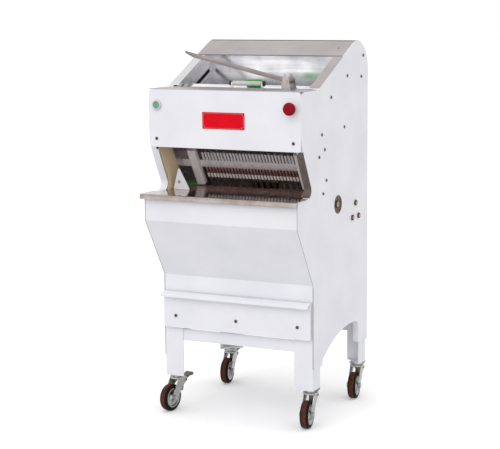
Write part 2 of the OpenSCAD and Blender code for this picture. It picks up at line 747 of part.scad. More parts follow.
// Pusher: it runs down the slope of the infeed on blocks in slots of the bearing walls
slide_yz = [225, step_h - 31];
slide_l = 60;
slide_h = 14;
grip_x = [-48, 64];
grip_yz = [161, step_h + 15];
grip_r = 8;
pusher_t = 2;
pusher_side = wall_in - 6;
module along_slope(p) { translate([0, p[0], p[1]]) rotate([slope, 0, 0]) children(); }
module slot_outline() {
  g = slide_gap;
  translate(slide_yz) rotate(slope)
    translate([-slide_l / 2 - g, -slide_h / 2 - g]) square([slide_l + push_travel + 2 * g, slide_h + 2 * g]);
}
module pusher_carriage() {
  fingers = floor(blade_count / 2) - 1;
  finger_l = 90;
  bend = [ledge_back + 4, slope_z(ledge_back + 4) - 26];
  front = bend + 170 * [sin(lean), -cos(lean)];
  back = bend + 56 * [cos(slope), sin(slope)];
  arm = 4;
  color("silver") {
    difference() {
      sheet([[front[0], front[1], 0], [bend[0], bend[1], 6], [back[0], back[1], 0]], -pusher_side, pusher_side,
        pusher_t);
      for (i = [0:fingers]) translate([(i - fingers / 2) * 2 * blade_pitch, front[0], front[1]])
        rotate([lean, 0, 0]) block(-blade_pitch / 2, blade_pitch / 2, -10, 10, -5, finger_l);
    }
    both_sides() {
      along_x(pusher_side - arm, pusher_side) polygon([bend + [3, -1], back - [2, 3], slide_yz + [27, 18],
        slide_yz + [27, 2], slide_yz + [-27, -18], bend + [30, -45]]);
      along_slope(slide_yz)
        block(pusher_side - arm, wall_x + 3, -slide_l / 2, slide_l / 2, -slide_h / 2, slide_h / 2);
    }
    for (x = grip_x) block(x - 3, x + 3, grip_yz[0] - 5, grip_yz[0] + 5, bend[1] - 1, grip_yz[1] + 4);
  }
}
module pusher_grip() {
  cap = 6;
  color("white") {
    pin_x(grip_x[0] + 3, grip_x[1] - 3, grip_yz, grip_r);
    for (x = [grip_x[0] - 3 - cap, grip_x[1] + 3]) pin_x(x, x + cap, grip_yz, grip_r + 1);
  }
}
pad_x = [-3, 58];
module pusher_pad() {
  color("limegreen") along_slope([grip_yz[0] + 20, slope_z(grip_yz[0] + 20) - 26])
    block(pad_x[0], pad_x[1], 0, 6, 0, 30);
}

// Fasteners
module screw_x(p, r, head, h, tail) {
  pin_x(half_w, half_w + h, p, head);
  pin_x(half_w - tail, half_w + 0.5, p, r);
}
module panel_screws() {
  color("dimgray") {
    both_sides() for (p = panel_screw_yz) screw_x(p, screw_r, head_r, head_h, 6);
    for (p = motor_bolt_yz) screw_x(p, bolt_r, bolt_head_r, bolt_head_h, half_w - wall_in + 12);
    for (x = [-cover_screw_x, cover_screw_x]) {
      pin_y(-sheet_t - head_h, -sheet_t, x, cover_screw_z, head_r);
      pin_y(-sheet_t - 0.5, 4, x, cover_screw_z, screw_r);
    }
  }
}

// Casters, drawn with the swivel on the Z axis and the wheel towards -Y
axle_r = 5;
mount_t = 3;
mount_half = 21;
race_h = 8;
race_r = 15;
fork_t = 3;
fork_top = caster_h - mount_t - race_h;
crown = 5;
swivel_r = 24;
stem_pin_r = 6;
wheel_r = (caster_h - swivel_head) / 2;
hub_outer = wheel_r - 12.3;
fork_in = wheel_w / 2 + 3;
pedal_yz = [26, fork_top - 15];
function caster_place(i) = [(i % 2 == 0 ? LEFT : RIGHT) * caster_x, caster_y[floor(i / 2)], 0];
module at_caster(i) {
  translate(caster_place(i)) rotate([0, 0, i == 0 ? -turned : turned]) children();
}
module caster_plates() {
  head = fork_top - crown - 4;
  color("silver") for (i = [0:3]) translate(caster_place(i)) {
    block(-mount_half, mount_half, -mount_half, mount_half, caster_h - mount_t, caster_h);
    translate([0, 0, head]) cylinder(h = caster_h - mount_t + 0.5 - head, r = stem_pin_r);
    translate([0, 0, head]) cylinder(h = 3.5, r = stem_pin_r + 4);
  }
}
module caster_fork(i) {
  cheek = [[-14, fork_top], [20, fork_top], [32, fork_top - 8], [32, fork_top - 18], [10, fork_top - 30],
    [-trail + 12, wheel_r - 8], [-trail, wheel_r - 13], [-trail - 12, wheel_r - 6], [-trail - 12, wheel_r + 8]];
  color("silver") at_caster(i) difference() {
    union() {
      translate([0, 0, fork_top - crown]) cylinder(h = crown, r = swivel_r);
      translate([0, 0, fork_top - 1]) cylinder(h = race_h, r = race_r);
      block(-fork_in - fork_t, fork_in + fork_t, -14, 20, fork_top - crown, fork_top);
      both_sides() along_x(fork_in, fork_in + fork_t) polygon(cheek);
      pin_x(-fork_in - fork_t - 5, fork_in + fork_t + 5, [-trail, wheel_r], axle_r);
      both_sides() pin_x(fork_in + fork_t, fork_in + fork_t + 5, [-trail, wheel_r], axle_r + 4);
    }
    translate([0, 0, fork_top - 20]) cylinder(h = 40, r = stem_pin_r + run_gap);
    pin_x(-fork_in - 20, fork_in + 20, pedal_yz, pedal_pin_r + run_gap);
  }
}
module wheel(i) {
  hub_w = wheel_w + 4;
  color("silver") at_caster(i) translate([0, -trail, wheel_r]) rotate([0, 90, 0]) rotate_extrude()
    polygon([[axle_r + run_gap, -hub_w / 2], [14, -hub_w / 2], [14, -hub_w / 2 + 7],
      [hub_outer - 6, -wheel_w / 2 + 7], [hub_outer - 3, -wheel_w / 2], [hub_outer, -wheel_w / 2],
      [hub_outer, wheel_w / 2], [hub_outer - 3, wheel_w / 2],
      [hub_outer - 6, wheel_w / 2 - 7], [14, hub_w / 2 - 7], [14, hub_w / 2], [axle_r + run_gap, hub_w / 2]]);
}
module tyre(i) {
  edge = 6;
  half = wheel_w / 2;
  color("saddlebrown") at_caster(i) translate([0, -trail, wheel_r]) rotate([0, 90, 0]) rotate_extrude()
    polygon(concat([[hub_outer + 0.05, half], [hub_outer + 0.05, -half]],
      [for (a = [-90:15:0]) [wheel_r - edge + edge * cos(a), -half + edge + edge * sin(a)]],
      [for (a = [0:15:90]) [wheel_r - edge + edge * cos(a), half - edge + edge * sin(a)]]));
}
pedal_pin_r = 3;
shoe_gap = 9;
module brake_pedal(i) {
  p = pedal_yz;
  end = [pedal_reach, p[1]];
  shoe_z = p[1] - 35;
  shoe_y = sqrt(wheel_r * wheel_r - (shoe_z - wheel_r) * (shoe_z - wheel_r)) - trail + shoe_gap;
  color("dimgray") at_caster(i) {
    pin_x(-fork_in - fork_t - 2, fork_in + fork_t + 2, pedal_yz, pedal_pin_r);
    along_x(-pedal_w / 2, pedal_w / 2) polygon([p + [-5, -5], p + [-5, 4], p + [6, 6], end + [-26, 13],
      end + [-8, 17], end + [0, 13], end + [-2, 5], end + [-22, 6], p + [8, -4]]);
    along_x(-wheel_w / 2 + 4, wheel_w / 2 - 4) polygon([p + [-5, 2], p + [5, -2], [shoe_y + 6, shoe_z - 4],
      [shoe_y, shoe_z - 3], [shoe_y, shoe_z + 4]]);
  }
}

// The assembly
place() side_panel_left();
place() side_panel_right();
place() front_cover();
place() name_plate();
place() infeed_ledge();
place() infeed_strips();
place() top_panel();
place() back_panel();
place() outfeed_shelf();
place() hopper_panel();
place() crumb_drawer();
place() bread_chute();
place() bearing_wall_left();
place() bearing_wall_right();
place() frame_rails();
place() cross_members();
place() legs_front();
place() legs_rear();
place() frame_guides();
place() outfeed_comb();
place() blade_frame_front();
place() blade_frame_rear();
place() blades_front();
place() blades_rear();
place() crankshaft();
place() flange_bearings();
place() driven_pulley();
place() connecting_rods_front();
place() connecting_rods_rear();
place() motor();
place() motor_pulley();
place() drive_belt();
place() button_bezels();
place() start_button();
place() stop_button();
place() arm_bracket();
place() arm_pin();
place() hold_down_arm();
place() pusher_carriage();
place() pusher_grip();
place() pusher_pad();
place() panel_screws();
place() cable_gland();
place() caster_plates();
place() caster_fork(0);  // caster_fork_fl
place() caster_fork(1);  // caster_fork_fr
place() caster_fork(2);  // caster_fork_rl
place() caster_fork(3);  // caster_fork_rr
place() wheel(0);  // wheel_fl
place() wheel(1);  // wheel_fr
place() wheel(2);  // wheel_rl
place() wheel(3);  // wheel_rr
place() tyre(0);  // tyre_fl
place() tyre(1);  // tyre_fr
place() tyre(2);  // tyre_rl
place() tyre(3);  // tyre_rr
place() brake_pedal(0);  // brake_pedal_fl
place() brake_pedal(1);  // brake_pedal_fr
place() brake_pedal(2);  // brake_pedal_rl
place() brake_pedal(3);  // brake_pedal_rr
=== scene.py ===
import json
import math

import bmesh
import bpy
from mathutils import Matrix, Vector


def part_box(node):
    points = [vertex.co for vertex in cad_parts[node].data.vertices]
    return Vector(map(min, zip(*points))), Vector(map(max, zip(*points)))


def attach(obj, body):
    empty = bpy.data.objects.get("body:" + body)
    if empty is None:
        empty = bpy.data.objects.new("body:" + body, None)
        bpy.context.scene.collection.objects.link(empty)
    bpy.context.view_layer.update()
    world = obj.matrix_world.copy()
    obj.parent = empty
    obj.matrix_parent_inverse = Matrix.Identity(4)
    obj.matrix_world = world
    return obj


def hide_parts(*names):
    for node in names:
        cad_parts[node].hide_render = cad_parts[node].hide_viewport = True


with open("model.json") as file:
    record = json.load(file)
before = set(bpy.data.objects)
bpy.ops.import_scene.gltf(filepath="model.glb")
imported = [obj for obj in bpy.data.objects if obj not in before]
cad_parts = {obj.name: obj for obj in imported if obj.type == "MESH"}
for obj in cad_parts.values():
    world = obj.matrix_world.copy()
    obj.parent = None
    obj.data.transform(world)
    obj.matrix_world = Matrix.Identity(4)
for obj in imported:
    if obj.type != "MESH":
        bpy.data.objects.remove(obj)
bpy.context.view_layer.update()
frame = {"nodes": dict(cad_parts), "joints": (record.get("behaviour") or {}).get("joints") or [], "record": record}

cadNodes = frame["nodes"]
joints = {joint["name"]: joint for joint in frame["joints"]}
slotOf = {row["node"]: row["material_slot"] for row in frame["record"]["subparts"]}
corners = ("fl", "fr", "rl", "rr")
print("frame loaded:", len(cadNodes), "nodes")

# camera at the photograph's place: metres in the part's frame, turned in degrees
camera = {"place": (2.18514, -4.54597, 1.41892), "yaw": 26.1095, "pitch": 8.7415, "roll": -0.4264,
          "lens": 106.09, "sensor": 36.0}


def makeCamera(spec):
    yaw, pitch, roll = (math.radians(spec[name]) for name in ("yaw", "pitch", "roll"))
    ahead = Vector((-math.sin(yaw) * math.cos(pitch), math.cos(yaw) * math.cos(pitch), -math.sin(pitch)))
    right = Vector((math.cos(yaw), math.sin(yaw), 0))
    up = right.cross(ahead)
    imageRight = right * math.cos(roll) + up * math.sin(roll)
    imageUp = up * math.cos(roll) - right * math.sin(roll)
    data = bpy.data.cameras.new("photoCamera")
    data.sensor_fit = "HORIZONTAL"
    data.sensor_width = spec["sensor"]
    data.lens = spec["lens"]
    made = bpy.data.objects.new("photoCamera", data)
    turn = Matrix((imageRight, imageUp, -ahead)).transposed()
    made.matrix_world = Matrix.Translation(spec["place"]) @ turn.to_4x4()
    bpy.context.scene.collection.objects.link(made)
    bpy.context.scene.camera = made


makeCamera(camera)
print("camera placed")


# helpers for materials: a Mix of colours has its share at socket 0 and the two colours at 6 and 7, and the
# output of TexCoord at objectSpace is in metres in the part's frame
colourMix = {"out": 2, "data_type": "RGBA"}
objectSpace = 3


def linear(text):
    channels = [int(text[i:i + 2], 16) / 255 for i in (0, 2, 4)]
    return [c / 12.92 if c <= 0.04045 else ((c + 0.055) / 1.055) ** 2.4 for c in channels] + [1.0]


def perMm(*sizes):
    return [1000 / size for size in sizes]  # grains per metre, from grain sizes in millimetres


def addNode(tree, kind, inputs=None, into=None, out=0, **settings):
    made = tree.nodes.new("ShaderNode" + kind)
    for name, value in settings.items():
        setattr(made, name, value)
    for socket, value in (inputs or {}).items():
        if isinstance(value, bpy.types.NodeSocket):
            tree.links.new(value, made.inputs[socket])
        else:
            made.inputs[socket].default_value = value
    if into:
        tree.links.new(made.outputs[out], into)
    return made.outputs[out]


def newMaterial(name, constants):
    made = bpy.data.materials.new(name)
    made.use_nodes = True
    tree = made.node_tree
    shader = tree.nodes["Principled BSDF"]
    for socket, value in constants.items():
        shader.inputs[socket].default_value = value
    return made, tree, shader.inputs, addNode(tree, "TexCoord", out=objectSpace)


# polyester powder coat or enamel baked on sheet: clean even colour with a slow drift of shade and a faint
# orange peel, drawn coarser than the real one so that it shows
def powderCoat(name, spec):
    made, tree, shader, where = newMaterial(name, {
        "IOR": 1.5, "Specular IOR Level": spec.get("sheen", 0.5)})
    peel = addNode(tree, "TexNoise", {"Vector": where, "Scale": perMm(spec["peelMm"])[0], "Detail": 2.0})
    addNode(tree, "Bump", {"Height": peel, "Distance": spec["peelDepthMm"] / 1000, "Strength": 0.5},
            shader["Normal"])
    cloud = addNode(tree, "TexNoise", {"Vector": where, "Scale": perMm(spec["cloudMm"])[0], "Detail": 3.0})
    # noise keeps near its middle, so here and below a narrow part of it is stretched to the full range
    shade = addNode(tree, "MapRange", {"Value": cloud, "From Min": 0.35, "From Max": 0.65})
    addNode(tree, "Mix", {0: shade, 6: linear(spec["colour"]), 7: linear(spec["shade"])},
            shader["Base Color"], **colourMix)
    rough = spec["rough"]
    addNode(tree, "MapRange", {"Value": cloud, "To Min": rough[0], "To Max": rough[1]}, shader["Roughness"])
    return made


# a tint laid over the colour along an axis: none where the axis measures its From value, full from its Full
# value on, with a ragged edge between; bright steel under it looks rougher and hardly metallic. It carries
# painted reflection (pale tan on the bay walls, pinkish brown far back on the shelf), painted shade (dark low
# in the chute, near black on the guides above the shelf) and a brown tint towards the bottom of the comb, the
# posts and the blades
tintLook = {"rough": 0.2, "metal": 0.05}


def tintAlongAxis(tree, where, clean, ragged, spec):
    along = addNode(tree, "VectorMath", {0: where, 1: spec["tintAxis"]}, None, 1, operation="DOT_PRODUCT")
    edge = addNode(tree, "Math", {0: ragged, 1: spec["tintRag"], 2: along}, operation="MULTIPLY_ADD")
    tint = addNode(tree, "MapRange", {"Value": edge, "From Min": spec["tintFrom"],
                                      "From Max": spec["tintFull"], "To Max": spec["tintMost"]})
    colour = addNode(tree, "Mix", {0: tint, 6: clean, 7: linear(spec["tint"])}, **colourMix)
    return tint, colour


# stainless sheet drawn over an abrasive belt: parallel lines, lighter and darker, with a dull sheen; the
# real lines are too fine to show, so these are coarser
def brushedSteel(name, spec):
    made, tree, shader, where = newMaterial(name, {"Metallic": spec.get("metal", 1.0)})
    lines = addNode(tree, "Mapping", {"Vector": where, "Scale": perMm(*spec["lineMm"])})
    grain = addNode(tree, "TexNoise", {"Vector": lines, "Scale": 1.0, "Detail": 3.0, "Roughness": 0.6})
    cloud = addNode(tree, "TexNoise", {"Vector": where, "Scale": perMm(spec["cloudMm"])[0], "Detail": 2.0})
    both = addNode(tree, "Math", {0: grain, 1: cloud}, operation="ADD")
    tone = addNode(tree, "MapRange", {"Value": both, "From Min": 0.7, "From Max": 1.3})
    clean = addNode(tree, "Mix", {0: tone, 6: linear(spec["colour"]), 7: linear(spec["shade"])}, **colourMix)
    if "tint" in spec:
        clean = tintAlongAxis(tree, where, clean, cloud, spec)[1]
    tree.links.new(clean, shader["Base Color"])
    rough = spec["rough"]
    addNode(tree, "MapRange", {"Value": tone, "To Min": rough[0], "To Max": rough[1]}, shader["Roughness"])
    addNode(tree, "Bump", {"Height": grain, "Distance": spec["depthMm"] / 1000, "Strength": 0.4},
            shader["Normal"])
    return made


# bright rolled stainless: a near mirror, a little wavy, wiped in smears, dulled where the tint lies on it
def brightSteel(name, spec):
    made, tree, shader, where = newMaterial(name, {})
    wave = addNode(tree, "TexNoise", {"Vector": where, "Scale": perMm(spec["waveMm"])[0], "Detail": 1.0})
    addNode(tree, "Bump", {"Height": wave, "Distance": spec["waveDepthMm"] / 1000, "Strength": 1.0},
            shader["Normal"])
    smear = addNode(tree, "TexNoise", {"Vector": where, "Scale": perMm(spec["smearMm"])[0], "Detail": 4.0,
                                       "Distortion": 0.6})
    tone = addNode(tree, "MapRange", {"Value": smear, "From Min": 0.35, "From Max": 0.7})
    clean = addNode(tree, "Mix", {0: tone, 6: linear(spec["colour"]), 7: linear(spec["shade"])}, **colourMix)
    tint, colour = tintAlongAxis(tree, where, clean, smear, spec)
    tree.links.new(colour, shader["Base Color"])
    rough = spec["rough"]
    dull = addNode(tree, "MapRange", {"Value": tone, "To Min": rough[0], "To Max": rough[1]})
    addNode(tree, "Math", {0: tint, 1: tintLook["rough"], 2: dull}, shader["Roughness"],
            operation="MULTIPLY_ADD")
    addNode(tree, "MapRange", {"Value": tint, "To Min": spec["metal"], "To Max": tintLook["metal"]},
            shader["Metallic"])
    return made


# moulded thermoplastic or rubber: even colour with a soft sheen and the mould's spark-eroded texture, drawn
# coarser than the real one so that it shows
def mouldedPlastic(name, spec):
    made, tree, shader, where = newMaterial(name, {
        "IOR": spec["ior"], "Specular IOR Level": spec.get("sheen", 0.5)})
    grain = addNode(tree, "TexNoise", {"Vector": where, "Scale": perMm(spec["grainMm"])[0], "Detail": 3.0})
    addNode(tree, "Bump", {"Height": grain, "Distance": spec["depthMm"] / 1000, "Strength": 0.6},
            shader["Normal"])
    cloud = addNode(tree, "TexNoise", {"Vector": where, "Scale": perMm(spec["cloudMm"])[0], "Detail": 2.0})
    tone = addNode(tree, "MapRange", {"Value": cloud, "From Min": 0.3, "From Max": 0.7})
    colour = addNode(tree, "Mix", {0: tone, 6: linear(spec["colour"]), 7: linear(spec["shade"])}, **colourMix)
    if "tint" in spec:
        colour = tintAlongAxis(tree, where, colour, cloud, spec)[1]
    tree.links.new(colour, shader["Base Color"])
    rough = spec["rough"]
    addNode(tree, "MapRange", {"Value": grain, "To Min": rough[0], "To Max": rough[1]}, shader["Roughness"])
    return made


# zinc plate, bright passivated: small crystal flakes of lighter and darker grey
def zincPlate(name, spec):
    made, tree, shader, where = newMaterial(name, {"Metallic": 1.0})
    flakes = addNode(tree, "TexVoronoi", {"Vector": where, "Scale": perMm(spec["flakeMm"])[0]}, out=1)
    flake = addNode(tree, "SeparateColor", {"Color": flakes})
    cloud = addNode(tree, "TexNoise", {"Vector": where, "Scale": perMm(spec["cloudMm"])[0], "Detail": 3.0})
    tone = addNode(tree, "Math", {0: flake, 1: cloud}, operation="MULTIPLY")
    addNode(tree, "Mix", {0: tone, 6: linear(spec["colour"]), 7: linear(spec["shade"])},
            shader["Base Color"], **colourMix)
    rough = spec["rough"]
    addNode(tree, "MapRange", {"Value": flake, "To Min": rough[0], "To Max": rough[1]}, shader["Roughness"])
    return made


upright = (0.0, 0.0, 1.0)
loafPath = (0.0, 0.848, 0.53)  # square to the blades, from the shelf up to the infeed
finishes = {
    "white_paint": powderCoat("polyesterPowderCoat", {
        "colour": "E9E9EE", "shade": "E3E3E9", "rough": (0.34, 0.46), "peelMm": 4.0,
        "peelDepthMm": 0.03, "cloudMm": 140.0}),
    # greyer coat on the side panels' cut edge beside the hopper
    "cut_edge": powderCoat("greyCoatOnCutEdge", {
        "colour": "B4B0AF", "shade": "A8A3A1", "rough": (0.4, 0.55), "peelMm": 3.0,
        "peelDepthMm": 0.02, "cloudMm": 60.0}),
    "motor_paint": powderCoat("alkydEnamel", {
        "colour": "54647A", "shade": "465468", "rough": (0.35, 0.5), "peelMm": 3.0,
        "peelDepthMm": 0.05, "cloudMm": 60.0}),
    "red_plate": powderCoat("redEnamelPlate", {
        "colour": "E2081F", "shade": "D6061B", "rough": (0.34, 0.44), "peelMm": 2.0,
        "peelDepthMm": 0.01, "cloudMm": 40.0, "sheen": 0.08}),
    "plate_line": powderCoat("greyPrintedLine", {
        "colour": "A08C88", "shade": "8E7C78", "rough": (0.4, 0.5), "peelMm": 2.0, "peelDepthMm": 0.01,
        "cloudMm": 20.0, "sheen": 0.1}),
    "stainless": brushedSteel("brushedStainless", {
        "colour": "BEB7B8", "shade": "AFA7A8", "rough": (0.3, 0.42), "lineMm": (90.0, 1.6, 1.6),
        "cloudMm": 120.0, "depthMm": 0.004}),
    "arm_steel": brushedSteel("satinSteelBar", {
        "colour": "9A8F8D", "shade": "827775", "rough": (0.36, 0.5), "lineMm": (60.0, 1.6, 1.6),
        "cloudMm": 60.0, "depthMm": 0.004}),
    # low along the loaf path, inside the bay, this steel is tinted pale tan and made hardly metallic: a painted
    # reflection
    "polished_steel": brightSteel("brightRolledStainless", {
        "colour": "DEDDE0", "shade": "D2CFD0", "rough": (0.2, 0.32), "waveMm": 140.0,
        "waveDepthMm": 0.3, "smearMm": 60.0, "metal": 1.0, "tint": "FFEABC", "tintAxis": loafPath,
        "tintRag": 0.01, "tintFrom": 0.355, "tintFull": 0.34, "tintMost": 0.95}),
    # the chute is tinted dark brown towards the bottom, full below 0.98 m: painted shade deep in the infeed; its
    # long, wide streaks along x are brushing drawn to copy bands of reflection, partly a painted reflection
    "chute_steel": brushedSteel("satinChuteStainless", {
        "colour": "FFFFFF", "shade": "D0D0DA", "rough": (0.12, 0.28), "lineMm": (340.0, 18.0, 18.0),
        "cloudMm": 90.0, "depthMm": 0.07, "metal": 0.85, "tint": "4A2E20", "tintAxis": upright,
        "tintRag": 0.02, "tintFrom": 1.04, "tintFull": 0.98, "tintMost": 0.9}),
    "strip_steel": brushedSteel("paleStripStainless", {
        "colour": "E4E3E4", "shade": "D6D4D6", "rough": (0.3, 0.42), "lineMm": (1.6, 90.0, 90.0),
        "cloudMm": 120.0, "depthMm": 0.004}),
    "wiped_steel": brightSteel("wipedStainlessComb", {
        "colour": "F8F8FC", "shade": "E2E2EA", "rough": (0.2, 0.34), "waveMm": 60.0,
        "waveDepthMm": 0.08, "smearMm": 14.0, "metal": 0.2, "tint": "8E4C34", "tintAxis": upright,
        "tintRag": 0.03, "tintFrom": 0.875, "tintFull": 0.85, "tintMost": 0.9}),
    # near white and hardly metallic: a painted highlight on the comb's outer posts and lower tips; tinted brown at
    # their foot
    "highlight_white_steel": brightSteel("highlightWhitePostSteel", {
        "colour": "FFFFFF", "shade": "F2F2F4", "rough": (0.14, 0.28), "waveMm": 40.0,
        "waveDepthMm": 0.1, "smearMm": 20.0, "metal": 0.1, "tint": "9C8468", "tintAxis": upright,
        "tintRag": 0.02, "tintFrom": 0.8, "tintFull": 0.77, "tintMost": 0.5}),
    # further back on the shelf, inside the bay, a pinkish brown tint: a painted reflection of the dark bay
    "shelf_steel": brightSteel("polishedShelfStainless", {
        "colour": "BBB1AC", "shade": "A0928A", "rough": (0.06, 0.16), "waveMm": 160.0,
        "waveDepthMm": 0.2, "smearMm": 40.0, "metal": 1.0, "tint": "B4746C", "tintAxis": loafPath,
        "tintRag": 0.02, "tintFrom": 0.23, "tintFull": 0.3, "tintMost": 0.62}),
    "blade_steel": brightSteel("springSteelBlade", {
        "colour": "B4B0AE", "shade": "877C74", "rough": (0.16, 0.32), "waveMm": 25.0,
        "waveDepthMm": 0.02, "smearMm": 8.0, "metal": 1.0, "tint": "6E4A30", "tintAxis": upright,
        "tintRag": 0.08, "tintFrom": 1.05, "tintFull": 0.85, "tintMost": 0.8}),
    "machine_steel": brushedSteel("turnedSteel", {
        "colour": "8C8A89", "shade": "6E6B69", "rough": (0.3, 0.46), "lineMm": (0.8, 6.0, 6.0),
        "cloudMm": 25.0, "depthMm": 0.006}),
    "screw_steel": brushedSteel("bronzedScrewSteel", {
        "colour": "74634B", "shade": "453B2F", "rough": (0.3, 0.46), "lineMm": (2.0, 2.0, 2.0),
        "cloudMm": 4.0, "depthMm": 0.01}),
    "zinc": zincPlate("brightZincPlate", {
        "colour": "B4B4B3", "shade": "85837F", "rough": (0.26, 0.44), "flakeMm": 3.0, "cloudMm": 12.0}),
    "pedal_steel": zincPlate("dullZincPedal", {
        "colour": "746C62", "shade": "4A4239", "rough": (0.34, 0.5), "flakeMm": 4.0, "cloudMm": 10.0}),
    "red_button": mouldedPlastic("redButtonPolyamide", {
        "colour": "960A1F", "shade": "86081B", "rough": (0.26, 0.4), "grainMm": 0.8, "depthMm": 0.01,
        "cloudMm": 12.0, "ior": 1.53, "sheen": 0.08}),
    "green_button": mouldedPlastic("greenButtonPolyamide", {
        "colour": "66AA8B", "shade": "589A7A", "rough": (0.24, 0.4), "grainMm": 0.8, "depthMm": 0.01,
        "cloudMm": 12.0, "ior": 1.53}),
    "grey_plastic": mouldedPlastic("greyBezelPolyamide", {
        "colour": "CFCFD2", "shade": "C1C1C6", "rough": (0.28, 0.44), "grainMm": 0.8, "depthMm": 0.01,
        "cloudMm": 12.0, "ior": 1.53}),
    "green_plastic": mouldedPlastic("greenPolyethyleneGuide", {
        "colour": "42BC3A", "shade": "36A630", "rough": (0.38, 0.55), "grainMm": 1.5, "depthMm": 0.03,
        "cloudMm": 20.0, "ior": 1.51}),
    # above about 0.79 m the green guides are tinted near black: painted shade
    "guide_plastic": mouldedPlastic("shadedPolyethyleneGuide", {
        "colour": "42BC3A", "shade": "36A630", "rough": (0.38, 0.55), "grainMm": 1.5, "depthMm": 0.03,
        "cloudMm": 20.0, "ior": 1.51, "tint": "2E2420", "tintAxis": upright, "tintRag": 0.01,
        "tintFrom": 0.783, "tintFull": 0.791, "tintMost": 0.95}),
    "white_plastic": mouldedPlastic("whiteAcetal", {
        "colour": "ECECEA", "shade": "E0E0DD", "rough": (0.28, 0.42), "grainMm": 1.0, "depthMm": 0.01,
        "cloudMm": 15.0, "ior": 1.48}),
    "black_plastic": mouldedPlastic("blackPolyamide", {
        "colour": "2B2927", "shade": "211F1E", "rough": (0.4, 0.6), "grainMm": 0.8, "depthMm": 0.02,
        "cloudMm": 10.0, "ior": 1.53}),
    "tyre_rubber": mouldedPlastic("brownTreadRubber", {
        "colour": "5E2C1A", "shade": "3C1D12", "rough": (0.5, 0.72), "grainMm": 1.6, "depthMm": 0.06,
        "cloudMm": 14.0, "ior": 1.52, "sheen": 0.2}),
    "wall_rubber": mouldedPlastic("blackSidewallRubber", {
        "colour": "140E0C", "shade": "0E0A08", "rough": (0.5, 0.7), "grainMm": 1.2, "depthMm": 0.04,
        "cloudMm": 10.0, "ior": 1.52, "sheen": 0.1}),
    # dark brown standing for shade: a painted shadow line down each side panel's front edge, painted shade on the
    # right flange and the right seal in the bay, and painted shade lines across the top panel
    "painted_shade_brown": mouldedPlastic("paintedShadeBrown", {
        "colour": "6A5F58", "shade": "574D47", "rough": (0.5, 0.7), "grainMm": 1.2, "depthMm": 0.02,
        "cloudMm": 10.0, "ior": 1.5}),
    "belt_rubber": mouldedPlastic("blackBeltRubber", {
        "colour": "1D1C1B", "shade": "2A2826", "rough": (0.6, 0.8), "grainMm": 1.0, "depthMm": 0.06,
        "cloudMm": 12.0, "ior": 1.52}),
}
# nodes whose finish differs from their slot's usual one
ownFinish = {"outfeed_comb": "wiped_steel", "outfeed_shelf": "shelf_steel", "pusher_carriage": "chute_steel",
             "bread_chute": "chute_steel", "arm_bracket": "stainless", "frame_guides": "guide_plastic"}
ownFinish.update({"brake_pedal_" + corner: "pedal_steel" for corner in corners})
for node, slot in slotOf.items():
    held = cadNodes[node].data.materials
    held.clear()
    held.append(finishes[ownFinish.get(node, slot)])

# second finishes: the left strip is paler than the right one; the comb's outer posts and lower tips are
# near white as a painted highlight; a dark brown painted shadow line runs down each side panel's front edge
# beside the drawer and the leg; the cut edge beside the hopper is greyer; and painted shade darkens the
# right panel's flange inside the bay
zones = {"legFace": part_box("legs_front")[0].y, "drawerTop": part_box("crumb_drawer")[1].z,
         "shelfTop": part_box("outfeed_shelf")[1].z, "coverLow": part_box("front_cover")[0].z,
         "postX": 0.178, "tipZ": 0.822, "shadeLineReach": 0.0006, "edgeTilt": 0.3, "flangeTilt": 0.4,
         "underShelf": 0.01, "shelfSlack": 0.001}


def leftStrip(face):
    return face.center.x < 0


# the comb's outer posts and lower tips, which take the painted highlight
def highlightedPostsAndTips(face):
    return abs(face.center.x) > zones["postX"] or face.center.z < zones["tipZ"]


# front faces of the panel's edge below the drawer's top: a painted shadow line
def besideDrawer(face):
    onFront = abs(face.center.y - zones["legFace"]) < zones["shadeLineReach"]
    return onFront and face.center.z < zones["drawerTop"]


def besideHopper(face):
    within = zones["drawerTop"] < face.center.z < zones["shelfTop"] - zones["underShelf"]
    return within and face.normal.y < -zones["edgeTilt"]


# front faces of the flange inside the bay, used on the right panel only: painted shade
def besideBay(face):
    within = zones["shelfTop"] - zones["shelfSlack"] < face.center.z < zones["coverLow"]
    return within and face.normal.y < -zones["flangeTilt"]


for node, finish, isOther in (("infeed_strips", "strip_steel", leftStrip),
                              ("outfeed_comb", "highlight_white_steel", highlightedPostsAndTips),
                              ("side_panel_left", "painted_shade_brown", besideDrawer),
                              ("side_panel_left", "cut_edge", besideHopper),
                              ("side_panel_right", "painted_shade_brown", besideDrawer),
                              ("side_panel_right", "cut_edge", besideHopper),
                              ("side_panel_right", "painted_shade_brown", besideBay)):
    held = cadNodes[node].data
    held.materials.append(finishes[finish])
    for face in held.polygons:
        if isOther(face):
            face.material_index = len(held.materials) - 1
print("finishes given:", len(finishes))


# helpers for shapes: outlines are in millimetres, and place carries them into the part's frame
toMetres = Matrix.Scale(0.001, 4)
weldM = {"cad": 1e-5, "made": 1e-7}  # points closer than this are one


def placed(spot, facing, spin=0.0):
    turn = Vector(facing).to_track_quat("Z", "Y").to_matrix().to_4x4()
    return Matrix.Translation(spot) @ turn @ Matrix.Rotation(spin, 4, "Z") @ toMetres


